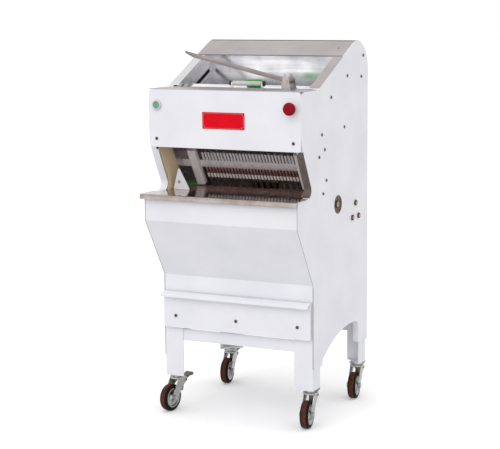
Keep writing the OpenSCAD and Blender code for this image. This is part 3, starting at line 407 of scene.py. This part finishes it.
# turns an outline of (radius, height, finish) about the place's Z; dent lowers a point by its x and y
def revolve(mesh, place, outline, steps, dent=None):
    rings = []
    for radius, height, *_ in outline:
        ring = []
        for k in range(steps if radius else 1):
            angle = 2 * math.pi * k / steps
            x, y = radius * math.cos(angle), radius * math.sin(angle)
            ring.append(mesh.verts.new(place @ Vector((x, y, height - (dent(x, y) if dent else 0)))))
        rings.append(ring)
    for row, (low, high) in enumerate(zip(rings, rings[1:])):
        for k in range(steps):
            after = (k + 1) % steps
            four = (low[k % len(low)], low[after % len(low)], high[after % len(high)], high[k % len(high)])
            face = mesh.faces.new(dict.fromkeys(four))
            face.material_index = outline[row][2] if len(outline[row]) > 2 else 0


# skins a row of loops of equal count, each of (x, y, z); lids closes the first and the last
def loft(mesh, place, loops, finish=0, lids=(True, True)):
    rings = [[mesh.verts.new(place @ Vector(point)) for point in loop] for loop in loops]
    made = []
    for low, high in zip(rings, rings[1:]):
        for k in range(len(low)):
            after = (k + 1) % len(low)
            made.append(mesh.faces.new((low[k], low[after], high[after], high[k])))
    if lids[0]:
        made.append(mesh.faces.new(rings[0][::-1]))
    if lids[1]:
        made.append(mesh.faces.new(rings[-1]))
    for face in made:
        face.material_index = finish


# a rectangle at height z whose corners are rounded, or hollowed where corner is negative
def rectangle(width, height, corner, z, steps=6):
    points = []
    for k, (sx, sy) in enumerate(((1, 1), (-1, 1), (-1, -1), (1, -1))):
        inner = abs(corner) if corner > 0 else 0
        cx, cy = sx * (width / 2 - inner), sy * (height / 2 - inner)
        for i in range(steps + 1):
            share = i / steps if corner > 0 else 1 - i / steps
            angle = math.pi / 2 * (k + share) + (math.pi if corner < 0 else 0)
            points.append((cx + abs(corner) * math.cos(angle), cy + abs(corner) * math.sin(angle), z))
    return points


def makePiece(name, mesh, finishNames, body, replaced=(), sharp=35):
    bmesh.ops.recalc_face_normals(mesh, faces=mesh.faces)
    data = bpy.data.meshes.new(name)
    mesh.to_mesh(data)
    mesh.free()
    data.shade_smooth()
    data.set_sharp_from_angle(angle=math.radians(sharp))
    for finish in finishNames:
        data.materials.append(finishes[finish])
    made = bpy.data.objects.new(name, data)
    bpy.context.scene.collection.objects.link(made)
    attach(made, body)
    if replaced:
        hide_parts(*replaced)
    return made


def evenShading(piece):
    even = piece.modifiers.new("even", "WEIGHTED_NORMAL")
    even.keep_sharp = True


# lowest and highest corner of each loose solid in a node, in the same order each run
def solidsOf(node):
    mesh = bmesh.new()
    mesh.from_mesh(cadNodes[node].data)
    bmesh.ops.remove_doubles(mesh, verts=mesh.verts, dist=weldM["cad"])
    left = set(mesh.verts)
    boxes = []
    while left:
        reach = [left.pop()]
        spots = []
        while reach:
            at = reach.pop()
            spots.append(at.co.copy())
            near = {edge.other_vert(at) for edge in at.link_edges} & left
            left -= near
            reach.extend(near)
        boxes.append([Vector([pick(spot[i] for spot in spots) for i in range(3)]) for pick in (min, max)])
    mesh.free()
    return sorted(boxes, key=lambda box: tuple(box[0]))


# folded and cut edges of the CAD pieces: how far each is eased, in millimetres
easedMm = {"side_panel_left": 0.8, "side_panel_right": 0.8, "infeed_ledge": 0.6, "infeed_strips": 0.5,
           "top_panel": 0.5, "back_panel": 0.6, "outfeed_shelf": 0.5, "hopper_panel": 0.6, "bread_chute": 0.5,
           "frame_rails": 0.6, "cross_members": 0.8, "legs_front": 0.9, "legs_rear": 0.9, "arm_bracket": 0.5,
           "hold_down_arm": 1.0, "pusher_pad": 1.5, "caster_plates": 0.5, "frame_guides": 1.0, "motor": 0.8,
           "cable_gland": 0.5}
easedMm.update({"caster_fork_" + corner: 0.6 for corner in corners})
easedMm.update({"brake_pedal_" + corner: 1.2 for corner in corners})
easing = {"flatDegrees": 0.5, "edgeDegrees": 35.0, "segments": 2}


def easeEdges(node, width):
    piece = cadNodes[node]
    piece.data.shade_smooth()
    weld = piece.modifiers.new("weld", "WELD")
    weld.merge_threshold = weldM["cad"]
    flat = piece.modifiers.new("flat", "DECIMATE")
    flat.decimate_type = "DISSOLVE"
    flat.angle_limit = math.radians(easing["flatDegrees"])
    ease = piece.modifiers.new("ease", "BEVEL")
    ease.width = width / 1000
    ease.segments = easing["segments"]
    ease.limit_method = "ANGLE"
    ease.angle_limit = math.radians(easing["edgeDegrees"])
    ease.harden_normals = True
    evenShading(piece)


for node, width in easedMm.items():
    easeEdges(node, width)
print("edges eased:", len(easedMm))

# screws: pan heads with a cross recess, round caps for the motor whose crown is a lighter zinc disc, a
# painted highlight, and one rivet in the band; outlines are (radius, height from the seat, finish) in
# millimetres, places are in metres
screws = {"pan": [(0, 3.0), (0.7, 3.0), (1.3, 2.98), (2.0, 2.95), (2.7, 2.88), (3.3, 2.78), (4.2, 2.4),
                  (4.9, 1.8), (5.35, 1.0), (5.5, 0.3), (5.5, 0.0), (0, 0.0)],
          "crossMm": (0.8, 3.2, 1.3),  # half width, reach and depth of the recess
          # the cap's crown, finish 1, is lighter zinc: a painted highlight
          "cap": [(0, 5.9, 1), (2.0, 5.9, 1), (4.4, 5.85), (7.4, 5.7), (9.0, 5.2), (9.8, 4.3), (10.0, 3.4),
                  (10.0, 0.0), (0, 0.0)],
          "rivet": [(0, 1.6), (1.2, 1.5), (2.2, 1.2), (2.9, 0.7), (3.2, 0.0), (3.2, -0.6), (0, -0.6)],
          "steps": 36, "rivetSteps": 24, "spinStep": 1.3,
          "seatIn": {"pan": 0.003, "cap": 0.0045},  # from the outer face of the CAD head to the seat
          "capFrom": 0.013, "roundSlack": 1e-4,
          "drawer": [(-0.228, 0.342), (0.002, 0.342), (0.229, 0.342)], "drawerLip": 0.020, "drawerSpin": 9.0,
          "bandSlope": 25.2, "bandIn": 0.036, "bandAlong": 0.06,
          "backCount": 6, "backIn": 0.012, "backEnds": 0.03}


def crossDent(x, y):
    half, reach, deep = screws["crossMm"]
    return deep if min(abs(x), abs(y)) < half and max(abs(x), abs(y)) < reach else 0


def addPan(mesh, spot, facing, spin, finish=0):
    head = [(radius, height, finish) for radius, height in screws["pan"]]
    revolve(mesh, placed(spot, facing, spin), head, screws["steps"], crossDent)


def makePanelScrews(spec):
    mesh = bmesh.new()
    for count, (low, high) in enumerate(solidsOf("panel_screws")):
        middle = (low + high) / 2
        size = high - low
        side = math.copysign(1, middle.x)
        spin = count * spec["spinStep"]
        if abs(size.y - size.z) > spec["roundSlack"]:
            addPan(mesh, (middle.x, low.y + spec["seatIn"]["pan"], middle.z), (0, -1, 0), spin)
            continue
        head = "cap" if size.y > spec["capFrom"] else "pan"
        seat = max(abs(low.x), abs(high.x)) - spec["seatIn"][head]
        spot = (side * seat, middle.y, middle.z)
        if head == "pan":
            addPan(mesh, spot, (side, 0, 0), spin)
        else:
            revolve(mesh, placed(spot, (side, 0, 0), spin), spec["cap"], spec["steps"])
    made = makePiece("panelScrews", mesh, ["screw_steel", "zinc"], "root", ["panel_screws"])


def makeDrawerScrews(spec):
    mesh = bmesh.new()
    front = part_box("crumb_drawer")[0].y + spec["drawerLip"]
    for x, z in spec["drawer"]:
        addPan(mesh, (x, front, z), (0, -1, 0), x * spec["drawerSpin"])
    makePiece("drawerScrews", mesh, ["screw_steel"], "drawer")


def makeBandRivet(spec):
    mesh = bmesh.new()
    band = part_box("top_panel")
    slope = Matrix.Rotation(math.radians(spec["bandSlope"]), 3, "X")
    start = Vector((band[1].x - spec["bandIn"], band[0].y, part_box("infeed_strips")[1].z))
    spot = start + slope @ Vector((0, spec["bandAlong"], 0))
    revolve(mesh, placed(spot, slope @ Vector((0, 0, 1))), spec["rivet"], spec["rivetSteps"])
    makePiece("bandRivet", mesh, ["screw_steel"], "root")


def makeBackScrews(spec):
    mesh = bmesh.new()
    low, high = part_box("back_panel")
    first = low.z + spec["backEnds"]
    pitch = (high.z - low.z - 2 * spec["backEnds"]) / (spec["backCount"] - 1)
    for x in (low.x + spec["backIn"], high.x - spec["backIn"]):
        for k in range(spec["backCount"]):
            addPan(mesh, (x, high.y, first + pitch * k), (0, 1, 0), k + x)
    makePiece("backScrews", mesh, ["screw_steel"], "root")


makePanelScrews(screws)
makeDrawerScrews(screws)
makeBandRivet(screws)
makeBackScrews(screws)
print("screws made")

# front cover: a plate with rounded corners and rolled edges, bored for the buttons and screws, and a return
# folded back along its lower edge
cover = {"thickMm": 2.0, "cornerMm": 8.0, "cornerSteps": 10, "easeMm": 0.9, "easeSteps": 3,
         "holeMm": {"start_button": 11.3, "stop_button": 9.6}, "screwHoleMm": 3.3, "holeSteps": 32,
         "screwDepthMm": 50.0, "returnMm": 24.0, "returnInMm": 35.0, "returnThickMm": 2.0,
         "returnEaseMm": 0.4}


# each hole in the cover: its middle, and its radius in millimetres
def coverHoles(spec, face):
    holes = [(sum(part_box(node), Vector()) / 2, radius) for node, radius in spec["holeMm"].items()]
    for low, high in solidsOf("panel_screws"):
        size = high - low
        isRound = abs(size.x - size.z) < screws["roundSlack"]
        if isRound and high.y < face + spec["screwDepthMm"] / 1000:
            holes.append(((low + high) / 2, spec["screwHoleMm"]))
    return holes


# a flat plate about its own middle, from its outer loop and the loops of its holes
def plateMesh(spec, loops):
    outline = bpy.data.curves.new("coverOutline", "CURVE")
    outline.dimensions = "2D"
    outline.fill_mode = "BOTH"
    ease = spec["easeMm"] / 1000
    outline.bevel_depth = ease
    outline.bevel_resolution = spec["easeSteps"]
    outline.extrude = spec["thickMm"] / 2000 - ease
    outline.offset = -ease
    for loop in loops:
        line = outline.splines.new("POLY")
        line.points.add(len(loop) - 1)
        for point, (x, y) in zip(line.points, loop):
            point.co = (x, y, 0, 1)
        line.use_cyclic_u = True
    drawn = bpy.data.objects.new("coverOutline", outline)
    bpy.context.scene.collection.objects.link(drawn)
    solid = bpy.data.meshes.new_from_object(drawn.evaluated_get(bpy.context.evaluated_depsgraph_get()))
    bpy.data.objects.remove(drawn)
    return solid


def makeCover(spec):
    low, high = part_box("front_cover")
    face = low.y
    thick = spec["thickMm"] / 1000
    middle = (low + high) / 2
    size = (high - low) * 1000
    edge = rectangle(size.x, size.z, spec["cornerMm"], 0, spec["cornerSteps"])
    loops = [[(x / 1000, y / 1000) for x, y, _ in edge]]
    angles = [2 * math.pi * k / spec["holeSteps"] for k in range(spec["holeSteps"])]
    for spot, radius in coverHoles(spec, face):
        x, z = spot.x - middle.x, spot.z - middle.z
        loops.append([(x + radius / 1000 * math.cos(a), z + radius / 1000 * math.sin(a)) for a in angles])
    mesh = bmesh.new()
    mesh.from_mesh(plateMesh(spec, loops))
    standing = Matrix.Rotation(math.pi / 2, 4, "X")
    mesh.transform(Matrix.Translation((middle.x, face + thick / 2, middle.z)) @ standing)
    fold = spec["returnThickMm"]
    back = Matrix.Translation((middle.x, face + thick, low.z + fold / 2000))
    place = back @ Matrix.Rotation(-math.pi / 2, 4, "X") @ toMetres
    width = size.x - 2 * spec["returnInMm"]
    loft(mesh, place, [rectangle(width, fold, spec["returnEaseMm"], z) for z in (0, spec["returnMm"])])
    bmesh.ops.remove_doubles(mesh, verts=mesh.verts, dist=weldM["made"])
    made = makePiece("frontCover", mesh, ["white_paint"], "root", ["front_cover"])
    evenShading(made)


makeCover(cover)
print("cover made")

# dust filter of black foam in a folded frame, inside the back panel behind each row of vents
dustFilter = {"ventX": 0.11, "fromLowMm": 465.0, "widthMm": 114.0, "heightMm": 134.0, "thickMm": 6.0,
              "cornerMm": 4.0, "borderMm": 6.0, "innerCornerMm": 2.0, "foamInMm": 1.0}


def makeDustFilters(spec):
    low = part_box("back_panel")[0]
    mesh = bmesh.new()
    width, height, border, thick = (spec[name] for name in ("widthMm", "heightMm", "borderMm", "thickMm"))
    inside = (width - 2 * border, height - 2 * border, spec["innerCornerMm"])
    for side in (-1, 1):
        spot = (side * spec["ventX"], low.y, low.z + spec["fromLowMm"] / 1000)
        place = Matrix.Translation(spot) @ Matrix.Rotation(math.pi / 2, 4, "X") @ toMetres
        outer = [rectangle(width, height, spec["cornerMm"], z) for z in (0.0, thick)]
        inner = [rectangle(*inside, z) for z in (thick, 0.0)]
        loft(mesh, place, outer + inner + outer[:1], 0, (False, False))
        loft(mesh, place, [rectangle(*inside, z) for z in (spec["foamInMm"], thick - spec["foamInMm"])], 1)
    bmesh.ops.remove_doubles(mesh, verts=mesh.verts, dist=weldM["made"])
    makePiece("dustFilters", mesh, ["zinc", "belt_rubber"], "root")


makeDustFilters(dustFilter)
print("dust filters made")

# push buttons: outlines as (radius, height from the face of the front cover) in millimetres
buttons = {"bezel": [(11.4, 1.0), (11.4, 6.6), (12.0, 7.5), (13.0, 8.0), (14.6, 8.0), (16.0, 7.5),
                     (16.8, 6.4), (17.0, 5.0), (17.0, 1.2), (16.6, 0.0), (11.4, 1.0)],
           "collar": [(9.3, 0.5), (9.3, 6.6), (9.9, 7.6), (11.0, 8.0), (13.6, 8.0), (15.2, 7.6), (16.5, 6.2),
                      (17.0, 4.6), (17.0, 1.2), (16.6, 0.0), (9.3, 0.5)],
           "cap": [(0, 6.5), (7.8, 6.55), (8.3, 6.9), (8.8, 7.0), (10.0, 6.9), (10.7, 6.3), (10.9, 5.4),
                   (10.9, 4.0), (5.4, 4.0), (5.4, 0.0), (0, 0.0)],
           "mushroom": [(0, 34.7), (8.0, 34.75), (9.0, 35.0), (12.5, 34.7), (15.8, 33.8), (18.4, 32.3),
                        (20.2, 30.0), (21.0, 27.2), (21.0, 23.0), (20.7, 20.8), (19.4, 19.0), (17.0, 18.1),
                        (12.0, 18.0), (9.2, 17.4), (8.8, 15.5), (8.8, 7.0), (8.8, 5.0), (0, 5.0)],
           "steps": 64}


def makeButtons(spec):
    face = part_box("front_cover")[0].y
    green = sum(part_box("start_button"), Vector()) / 2
    red = sum(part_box("stop_button"), Vector()) / 2
    atGreen = placed((green.x, face, green.z), (0, -1, 0))
    atRed = placed((red.x, face, red.z), (0, -1, 0))
    mesh = bmesh.new()
    revolve(mesh, atGreen, spec["bezel"], spec["steps"])
    revolve(mesh, atRed, spec["collar"], spec["steps"])
    makePiece("buttonBezels", mesh, ["grey_plastic"], "root", ["button_bezels"])
    mesh = bmesh.new()
    revolve(mesh, atGreen, spec["cap"], spec["steps"])
    makePiece("startCap", mesh, ["green_button"], "start", ["start_button"])
    mesh = bmesh.new()
    revolve(mesh, atRed, spec["mushroom"], spec["steps"])
    makePiece("stopMushroom", mesh, ["red_button"], "stop", ["stop_button"])


makeButtons(buttons)
print("buttons made")

# dished bush in the round hole of each side panel, with its bolt: (radius, height from the panel's face,
# finish) in millimetres
bush = {"dish": [(0, -6.0, 0), (31.7, -6.0, 0), (31.7, 0.4, 0), (31.0, 1.2, 0), (29.0, 1.3, 0),
                 (27.5, 0.6, 0), (25.0, -2.6, 0), (20.0, -4.2, 0), (13.0, -4.6, 0), (12.6, -0.8, 0),
                 (11.6, 0.4, 0), (7.4, 0.6, 1), (4.6, 0.7, 1), (4.2, -1.2, 1), (0, -1.2, 1)],
        "steps": 72, "pinUnderMm": 45.0}  # narrower CAD solids are the pins behind the holes


def makeBushes(spec):
    mesh = bmesh.new()
    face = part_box("side_panel_right")[1].x
    for low, high in solidsOf("flange_bearings"):
        if (high - low).y < spec["pinUnderMm"] / 1000:
            middle = (low + high) / 2
            side = math.copysign(1, middle.x)
            place = placed((side * face, middle.y, middle.z), (side, 0, 0))
            revolve(mesh, place, spec["dish"], spec["steps"])
    makePiece("sideBushes", mesh, ["screw_steel", "zinc"], "root")


makeBushes(bush)
print("bushes made")

# name plate: bare red enamel with a printed grey line inside its edge, held by four rivets
plate = {"thickMm": 1.5, "cornerMm": 2.0, "easeMm": 0.4, "lineMm": 1.2, "lineInMm": 2.6, "lineSinkMm": -0.1,
         "lineRiseMm": 0.08, "notchMm": 6.0, "rivetInMm": 5.0, "rivetSteps": 24,
         "rivet": [(0, 0.8, 2), (0.9, 0.76, 2), (1.7, 0.6, 2), (2.3, 0.3, 2), (2.5, 0.0, 2), (0, 0.0, 2)]}


def makeNamePlate(spec):
    low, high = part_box("name_plate")
    middle = (low + high) / 2
    width, height = (high.x - low.x) * 1000, (high.z - low.z) * 1000
    place = placed((middle.x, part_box("front_cover")[0].y, middle.z), (0, -1, 0))
    thick, corner, ease = spec["thickMm"], spec["cornerMm"], spec["easeMm"]
    mesh = bmesh.new()
    loft(mesh, place, [rectangle(width, height, corner, 0), rectangle(width, height, corner, thick - ease),
                       rectangle(width - 2 * ease, height - 2 * ease, corner - ease, thick)])
    sunk, raised = thick + spec["lineSinkMm"], thick + spec["lineRiseMm"]
    loops = []
    for inset, levels in ((spec["lineInMm"], (sunk, raised)),
                          (spec["lineInMm"] + spec["lineMm"], (raised, sunk))):
        size = (width - 2 * inset, height - 2 * inset, -spec["notchMm"])
        loops += [rectangle(*size, level) for level in levels]
    loft(mesh, place, loops + loops[:1], 1, (False, False))
    for sx in (-1, 1):
        for sy in (-1, 1):
            x, y = sx * (width / 2 - spec["rivetInMm"]), sy * (height / 2 - spec["rivetInMm"])
            revolve(mesh, place @ Matrix.Translation((x, y, thick)), spec["rivet"], spec["rivetSteps"])
    bmesh.ops.remove_doubles(mesh, verts=mesh.verts, dist=weldM["made"])
    made = makePiece("namePlate", mesh, ["red_plate", "plate_line", "red_plate"], "root", ["name_plate"])


makeNamePlate(plate)
print("name plate made")

# wheels: half outlines as (radius, side) in millimetres, from the bore outwards, turned about the axle; the
# tread's finish reaches treadMm to each side, and the bolts hold the caster plates
wheels = {"tyre": [(34.75, 14.0), (36.5, 14.0), (37.2, 13.5), (39.0, 13.5), (39.6, 14.0), (42.0, 13.8),
                   (44.0, 12.8), (45.4, 10.8), (46.4, 8.0), (46.9, 4.6), (46.1, 4.1), (46.1, 3.5),
                   (46.95, 3.0), (47.0, 0.0)],
          "treadMm": 8.0, "tyreSteps": 96,
          "disc": [(5.1, 16.0), (8.6, 16.0), (9.6, 15.2), (11.0, 11.0), (13.5, 8.2), (18.0, 6.6), (24.0, 6.4),
                   (27.6, 7.6), (29.6, 10.4), (30.4, 13.0), (31.4, 14.0), (34.0, 14.0), (34.6, 13.2)],
          "discSteps": 72,
          "bolt": [(0, 3.4), (3.6, 3.4), (4.6, 2.9), (4.9, 2.2), (4.9, 0.0), (0, 0.0)],
          "boltSides": 6, "boltAtMm": 15.0, "boltSeatMm": 3.0, "boltSharp": 25}


# a closed outline from the half of it on one side of the wheel's middle
def bothSides(half):
    low = [(radius, -side) for radius, side in half]
    high = [(radius, side) for radius, side in reversed(half) if side]
    return low + high + low[:1]


def makeWheels(spec):
    tread = spec["treadMm"]
    tyre = [(radius, side, 0 if -tread <= side < tread else 1) for radius, side in bothSides(spec["tyre"])]
    for corner in corners:
        roll = joints["roll_" + corner]
        body = "roller_" + corner
        place = placed(roll["pos_m"], roll["axis"])
        mesh = bmesh.new()
        revolve(mesh, place, tyre, spec["tyreSteps"])
        made = makePiece("tyre." + corner, mesh, ["tyre_rubber", "wall_rubber"], body, ["tyre_" + corner])
        mesh = bmesh.new()
        revolve(mesh, place, bothSides(spec["disc"]), spec["discSteps"])
        makePiece("disc." + corner, mesh, ["zinc"], body, ["wheel_" + corner])


def makeCasterBolts(spec):
    mesh = bmesh.new()
    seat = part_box("caster_plates")[1].z - spec["boltSeatMm"] / 1000
    reach = spec["boltAtMm"] / 1000
    for corner in corners:
        x, y, _ = joints["swivel_" + corner]["pos_m"]
        for dx in (-reach, reach):
            for dy in (-reach, reach):
                place = placed((x + dx, y + dy, seat), (0, 0, -1))
                revolve(mesh, place, spec["bolt"], spec["boltSides"])
    makePiece("casterBolts", mesh, ["zinc"], "root", sharp=spec["boltSharp"])


makeWheels(wheels)
makeCasterBolts(wheels)
print("wheels made")

# pusher grip: white sleeve between the carriage's two posts, and a black collar outside each post
grip = {"sleeveR": 8.0, "sleeveEase": 0.8, "collarR": 9.0, "collarEase": 1.0, "collarMm": 6.0, "postMm": 6.0,
        "steps": 48}


# outline of a turned bar with eased ends, along from low to high
def easedBar(radius, low, high, ease, finish):
    return [(0, low, finish), (radius - ease, low, finish), (radius, low + ease, finish),
            (radius, high - ease, finish), (radius - ease, high, finish), (0, high, finish)]


def makeGrip(spec):
    low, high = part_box("pusher_grip")
    half = (high.x - low.x) * 500
    collar = half - spec["collarMm"]
    sleeve = collar - spec["postMm"]
    place = placed((low + high) / 2, (1, 0, 0))
    mesh = bmesh.new()
    revolve(mesh, place, easedBar(spec["sleeveR"], -sleeve, sleeve, spec["sleeveEase"], 0), spec["steps"])
    for start, end in ((-half, -collar), (collar, half)):
        revolve(mesh, place, easedBar(spec["collarR"], start, end, spec["collarEase"], 1), spec["steps"])
    made = makePiece("pusherGrip", mesh, ["white_plastic", "black_plastic"], "pusher", ["pusher_grip"])


makeGrip(grip)
print("grip made")

# black nylon trays behind the slots in which the pusher runs, in millimetres
tray = {"middle": (15.9, 1122.9), "slope": 25.2, "size": (216.0, 21.0, 3.0), "hollow": (211.4, 15.4, 1.0),
        "fromX": 256.0, "floorX": 259.7, "backX": 260.4}


def makeSlotTrays(spec):
    mesh = bmesh.new()
    y, z = (value / 1000 for value in spec["middle"])
    slope = math.radians(spec["slope"])
    along = Vector((0, math.cos(slope), math.sin(slope)))
    floor, back = (spec[name] - spec["fromX"] for name in ("floorX", "backX"))
    for side in (-1, 1):
        out = Vector((side, 0, 0))
        turn = Matrix((along, out.cross(along), out)).transposed().to_4x4()
        place = Matrix.Translation((side * spec["fromX"] / 1000, y, z)) @ turn @ toMetres
        loft(mesh, place, [rectangle(*spec["hollow"], floor), rectangle(*spec["hollow"], 0),
                           rectangle(*spec["size"], 0), rectangle(*spec["size"], back)])
    makePiece("slotTrays", mesh, ["black_plastic"], "root")


makeSlotTrays(tray)
print("slot trays made")

# bay: seals that close the gap from each panel's flange to the bearing wall, along a bend at the shelf and
# then up the bay's edge as (y, z), and a white gusset with its screw in front of the left post as (x, z)
bay = {"bendMiddle": (-228.9, 800.1), "bendR": 25.0, "bendDegrees": (-70.2, 28.1), "bendSteps": 5,
       "edgeMm": ((-256.6, 904.2), (-264.0, 921.0)), "sealMm": (253.2, 260.6), "sealGapMm": 0.3,
       "sealThickMm": 1.6,
       "gussetMm": ((-243.0, 777.2), (-183.5, 777.2), (-183.5, 781.0), (-219.0, 846.0), (-223.0, 848.0),
                    (-226.0, 846.0), (-243.0, 781.0)),
       "gussetFace": -180.0, "gussetThickMm": 2.0, "gussetScrew": (-221.0, 803.0), "screwSpin": 0.4}


# the line that the seals follow, from the shelf up
def sealLine(spec):
    first, last = (math.radians(angle) for angle in spec["bendDegrees"])
    y, z = spec["bendMiddle"]
    line = []
    for k in range(spec["bendSteps"] + 1):
        angle = first + (last - first) * k / spec["bendSteps"]
        line.append((y + spec["bendR"] * math.cos(angle), z + spec["bendR"] * math.sin(angle)))
    return line + list(spec["edgeMm"])


def makeBaySeals(spec):
    mesh = bmesh.new()
    inner, outer = spec["sealMm"]
    near = spec["sealGapMm"]
    far = near + spec["sealThickMm"]
    section = ((inner, near), (outer, near), (outer, far), (inner, far))
    # the left seal is white paint, the right one dark brown: painted shade
    for side, finish in ((-1, 0), (1, 1)):
        loops = [[(side * x, y + back, z) for x, back in section] for y, z in sealLine(spec)]
        loft(mesh, toMetres, loops, finish)
    makePiece("baySeals", mesh, ["white_paint", "painted_shade_brown"], "root")


def makeGusset(spec):
    mesh = bmesh.new()
    face = spec["gussetFace"]
    levels = (face, face + spec["gussetThickMm"])
    loft(mesh, toMetres, [[(x, y, z) for x, z in spec["gussetMm"]] for y in levels])
    x, z = spec["gussetScrew"]
    addPan(mesh, (x / 1000, face / 1000, z / 1000), (0, -1, 0), spec["screwSpin"], 1)
    makePiece("postGusset", mesh, ["white_paint", "zinc"], "root")


makeBaySeals(bay)
makeGusset(bay)
print("bay fittings made")

# band shade strips: flat brown strips across the top panel, at its bend and its front edge, painted shade lines;
# sections as (y, z)
bandShadeStrips = {"halfMm": 275.0,
             "bend": ((170.0, 1269.9), (175.9, 1271.3), (181.0, 1271.7), (181.0, 1272.5), (175.9, 1272.1),
                      (170.0, 1270.8)),
             "front": ((63.0, 1222.6), (65.7, 1223.9), (65.4, 1224.6), (62.7, 1223.4))}


def makeBandShadeStrips(spec):
    mesh = bmesh.new()
    ends = (-spec["halfMm"], spec["halfMm"])
    for section in (spec["bend"], spec["front"]):
        loft(mesh, toMetres, [[(x, y, z) for y, z in section] for x in ends])
    makePiece("bandShadeStrips", mesh, ["painted_shade_brown"], "root")


makeBandShadeStrips(bandShadeStrips)
print("band seals made")

# studio: pale sheet underfoot, even sky and one wide soft sun, near the level at which a colour shows as
# it is written
studio = {"floor": "FFFFFF", "floorCloud": "FDFDFD", "cloudMm": 900.0, "floorBounce": "C4C4C6",
          "floorGlow": 0.12, "floorRough": 0.9, "floorHalf": 40.0, "skyDiffuse": 0.95, "sun": 0.75,
          "sunAngle": 60.0, "sunFrom": (0.1, -1.0, 0.62)}


# 1 for what the camera sees, straight or by reflection or through glass, 0 for light on its way to a surface
def seenRay(tree):
    rays = addNode(tree, "LightPath").node.outputs
    seen = addNode(tree, "Math", {0: rays["Is Camera Ray"], 1: rays["Is Glossy Ray"]}, operation="MAXIMUM")
    return addNode(tree, "Math", {0: seen, 1: rays["Is Transmission Ray"]}, operation="MAXIMUM")


def makeSky(spec):
    world = bpy.data.worlds.new("studioSky")
    bpy.context.scene.world = world
    world.use_nodes = True
    tree = world.node_tree
    back = tree.nodes["Background"].inputs
    back["Color"].default_value = (1, 1, 1, 1)
    addNode(tree, "MapRange", {"Value": seenRay(tree), "To Min": spec["skyDiffuse"], "To Max": 1.0},
            back["Strength"])


def makeSun(spec):
    lamp = bpy.data.lights.new("softSun", "SUN")
    lamp.energy = spec["sun"]
    lamp.angle = math.radians(spec["sunAngle"])
    made = bpy.data.objects.new("softSun", lamp)
    made.rotation_euler = (-Vector(spec["sunFrom"])).to_track_quat("-Z", "Y").to_euler()
    bpy.context.scene.collection.objects.link(made)


# matt card: plain white with a very faint cloud, and greyer for the light that it throws up at the part
def paperCard(name, spec):
    made, tree, shader, where = newMaterial(name, {
        "Roughness": spec["floorRough"], "Specular IOR Level": 0.0, "Emission Color": (1, 1, 1, 1),
        "Emission Strength": spec["floorGlow"]})
    cloud = addNode(tree, "TexNoise", {"Vector": where, "Scale": perMm(spec["cloudMm"])[0]})
    pale = addNode(tree, "Mix", {0: cloud, 6: linear(spec["floor"]), 7: linear(spec["floorCloud"])},
                   **colourMix)
    addNode(tree, "Mix", {0: seenRay(tree), 6: linear(spec["floorBounce"]), 7: pale}, shader["Base Color"],
            **colourMix)
    return made


def makeFloor(spec):
    half = spec["floorHalf"]
    spots = [(-half, -half, 0), (half, -half, 0), (half, half, 0), (-half, half, 0)]
    mesh = bpy.data.meshes.new("studioFloor")
    mesh.from_pydata(spots, [], [(0, 1, 2, 3)])
    mesh.materials.append(paperCard("paperSweep", spec))
    floor = bpy.data.objects.new("studioFloor", mesh)
    bpy.context.scene.collection.objects.link(floor)


makeSky(studio)
makeSun(studio)
makeFloor(studio)
view = bpy.context.scene.view_settings
view.view_transform = "Standard"
print("studio lit")
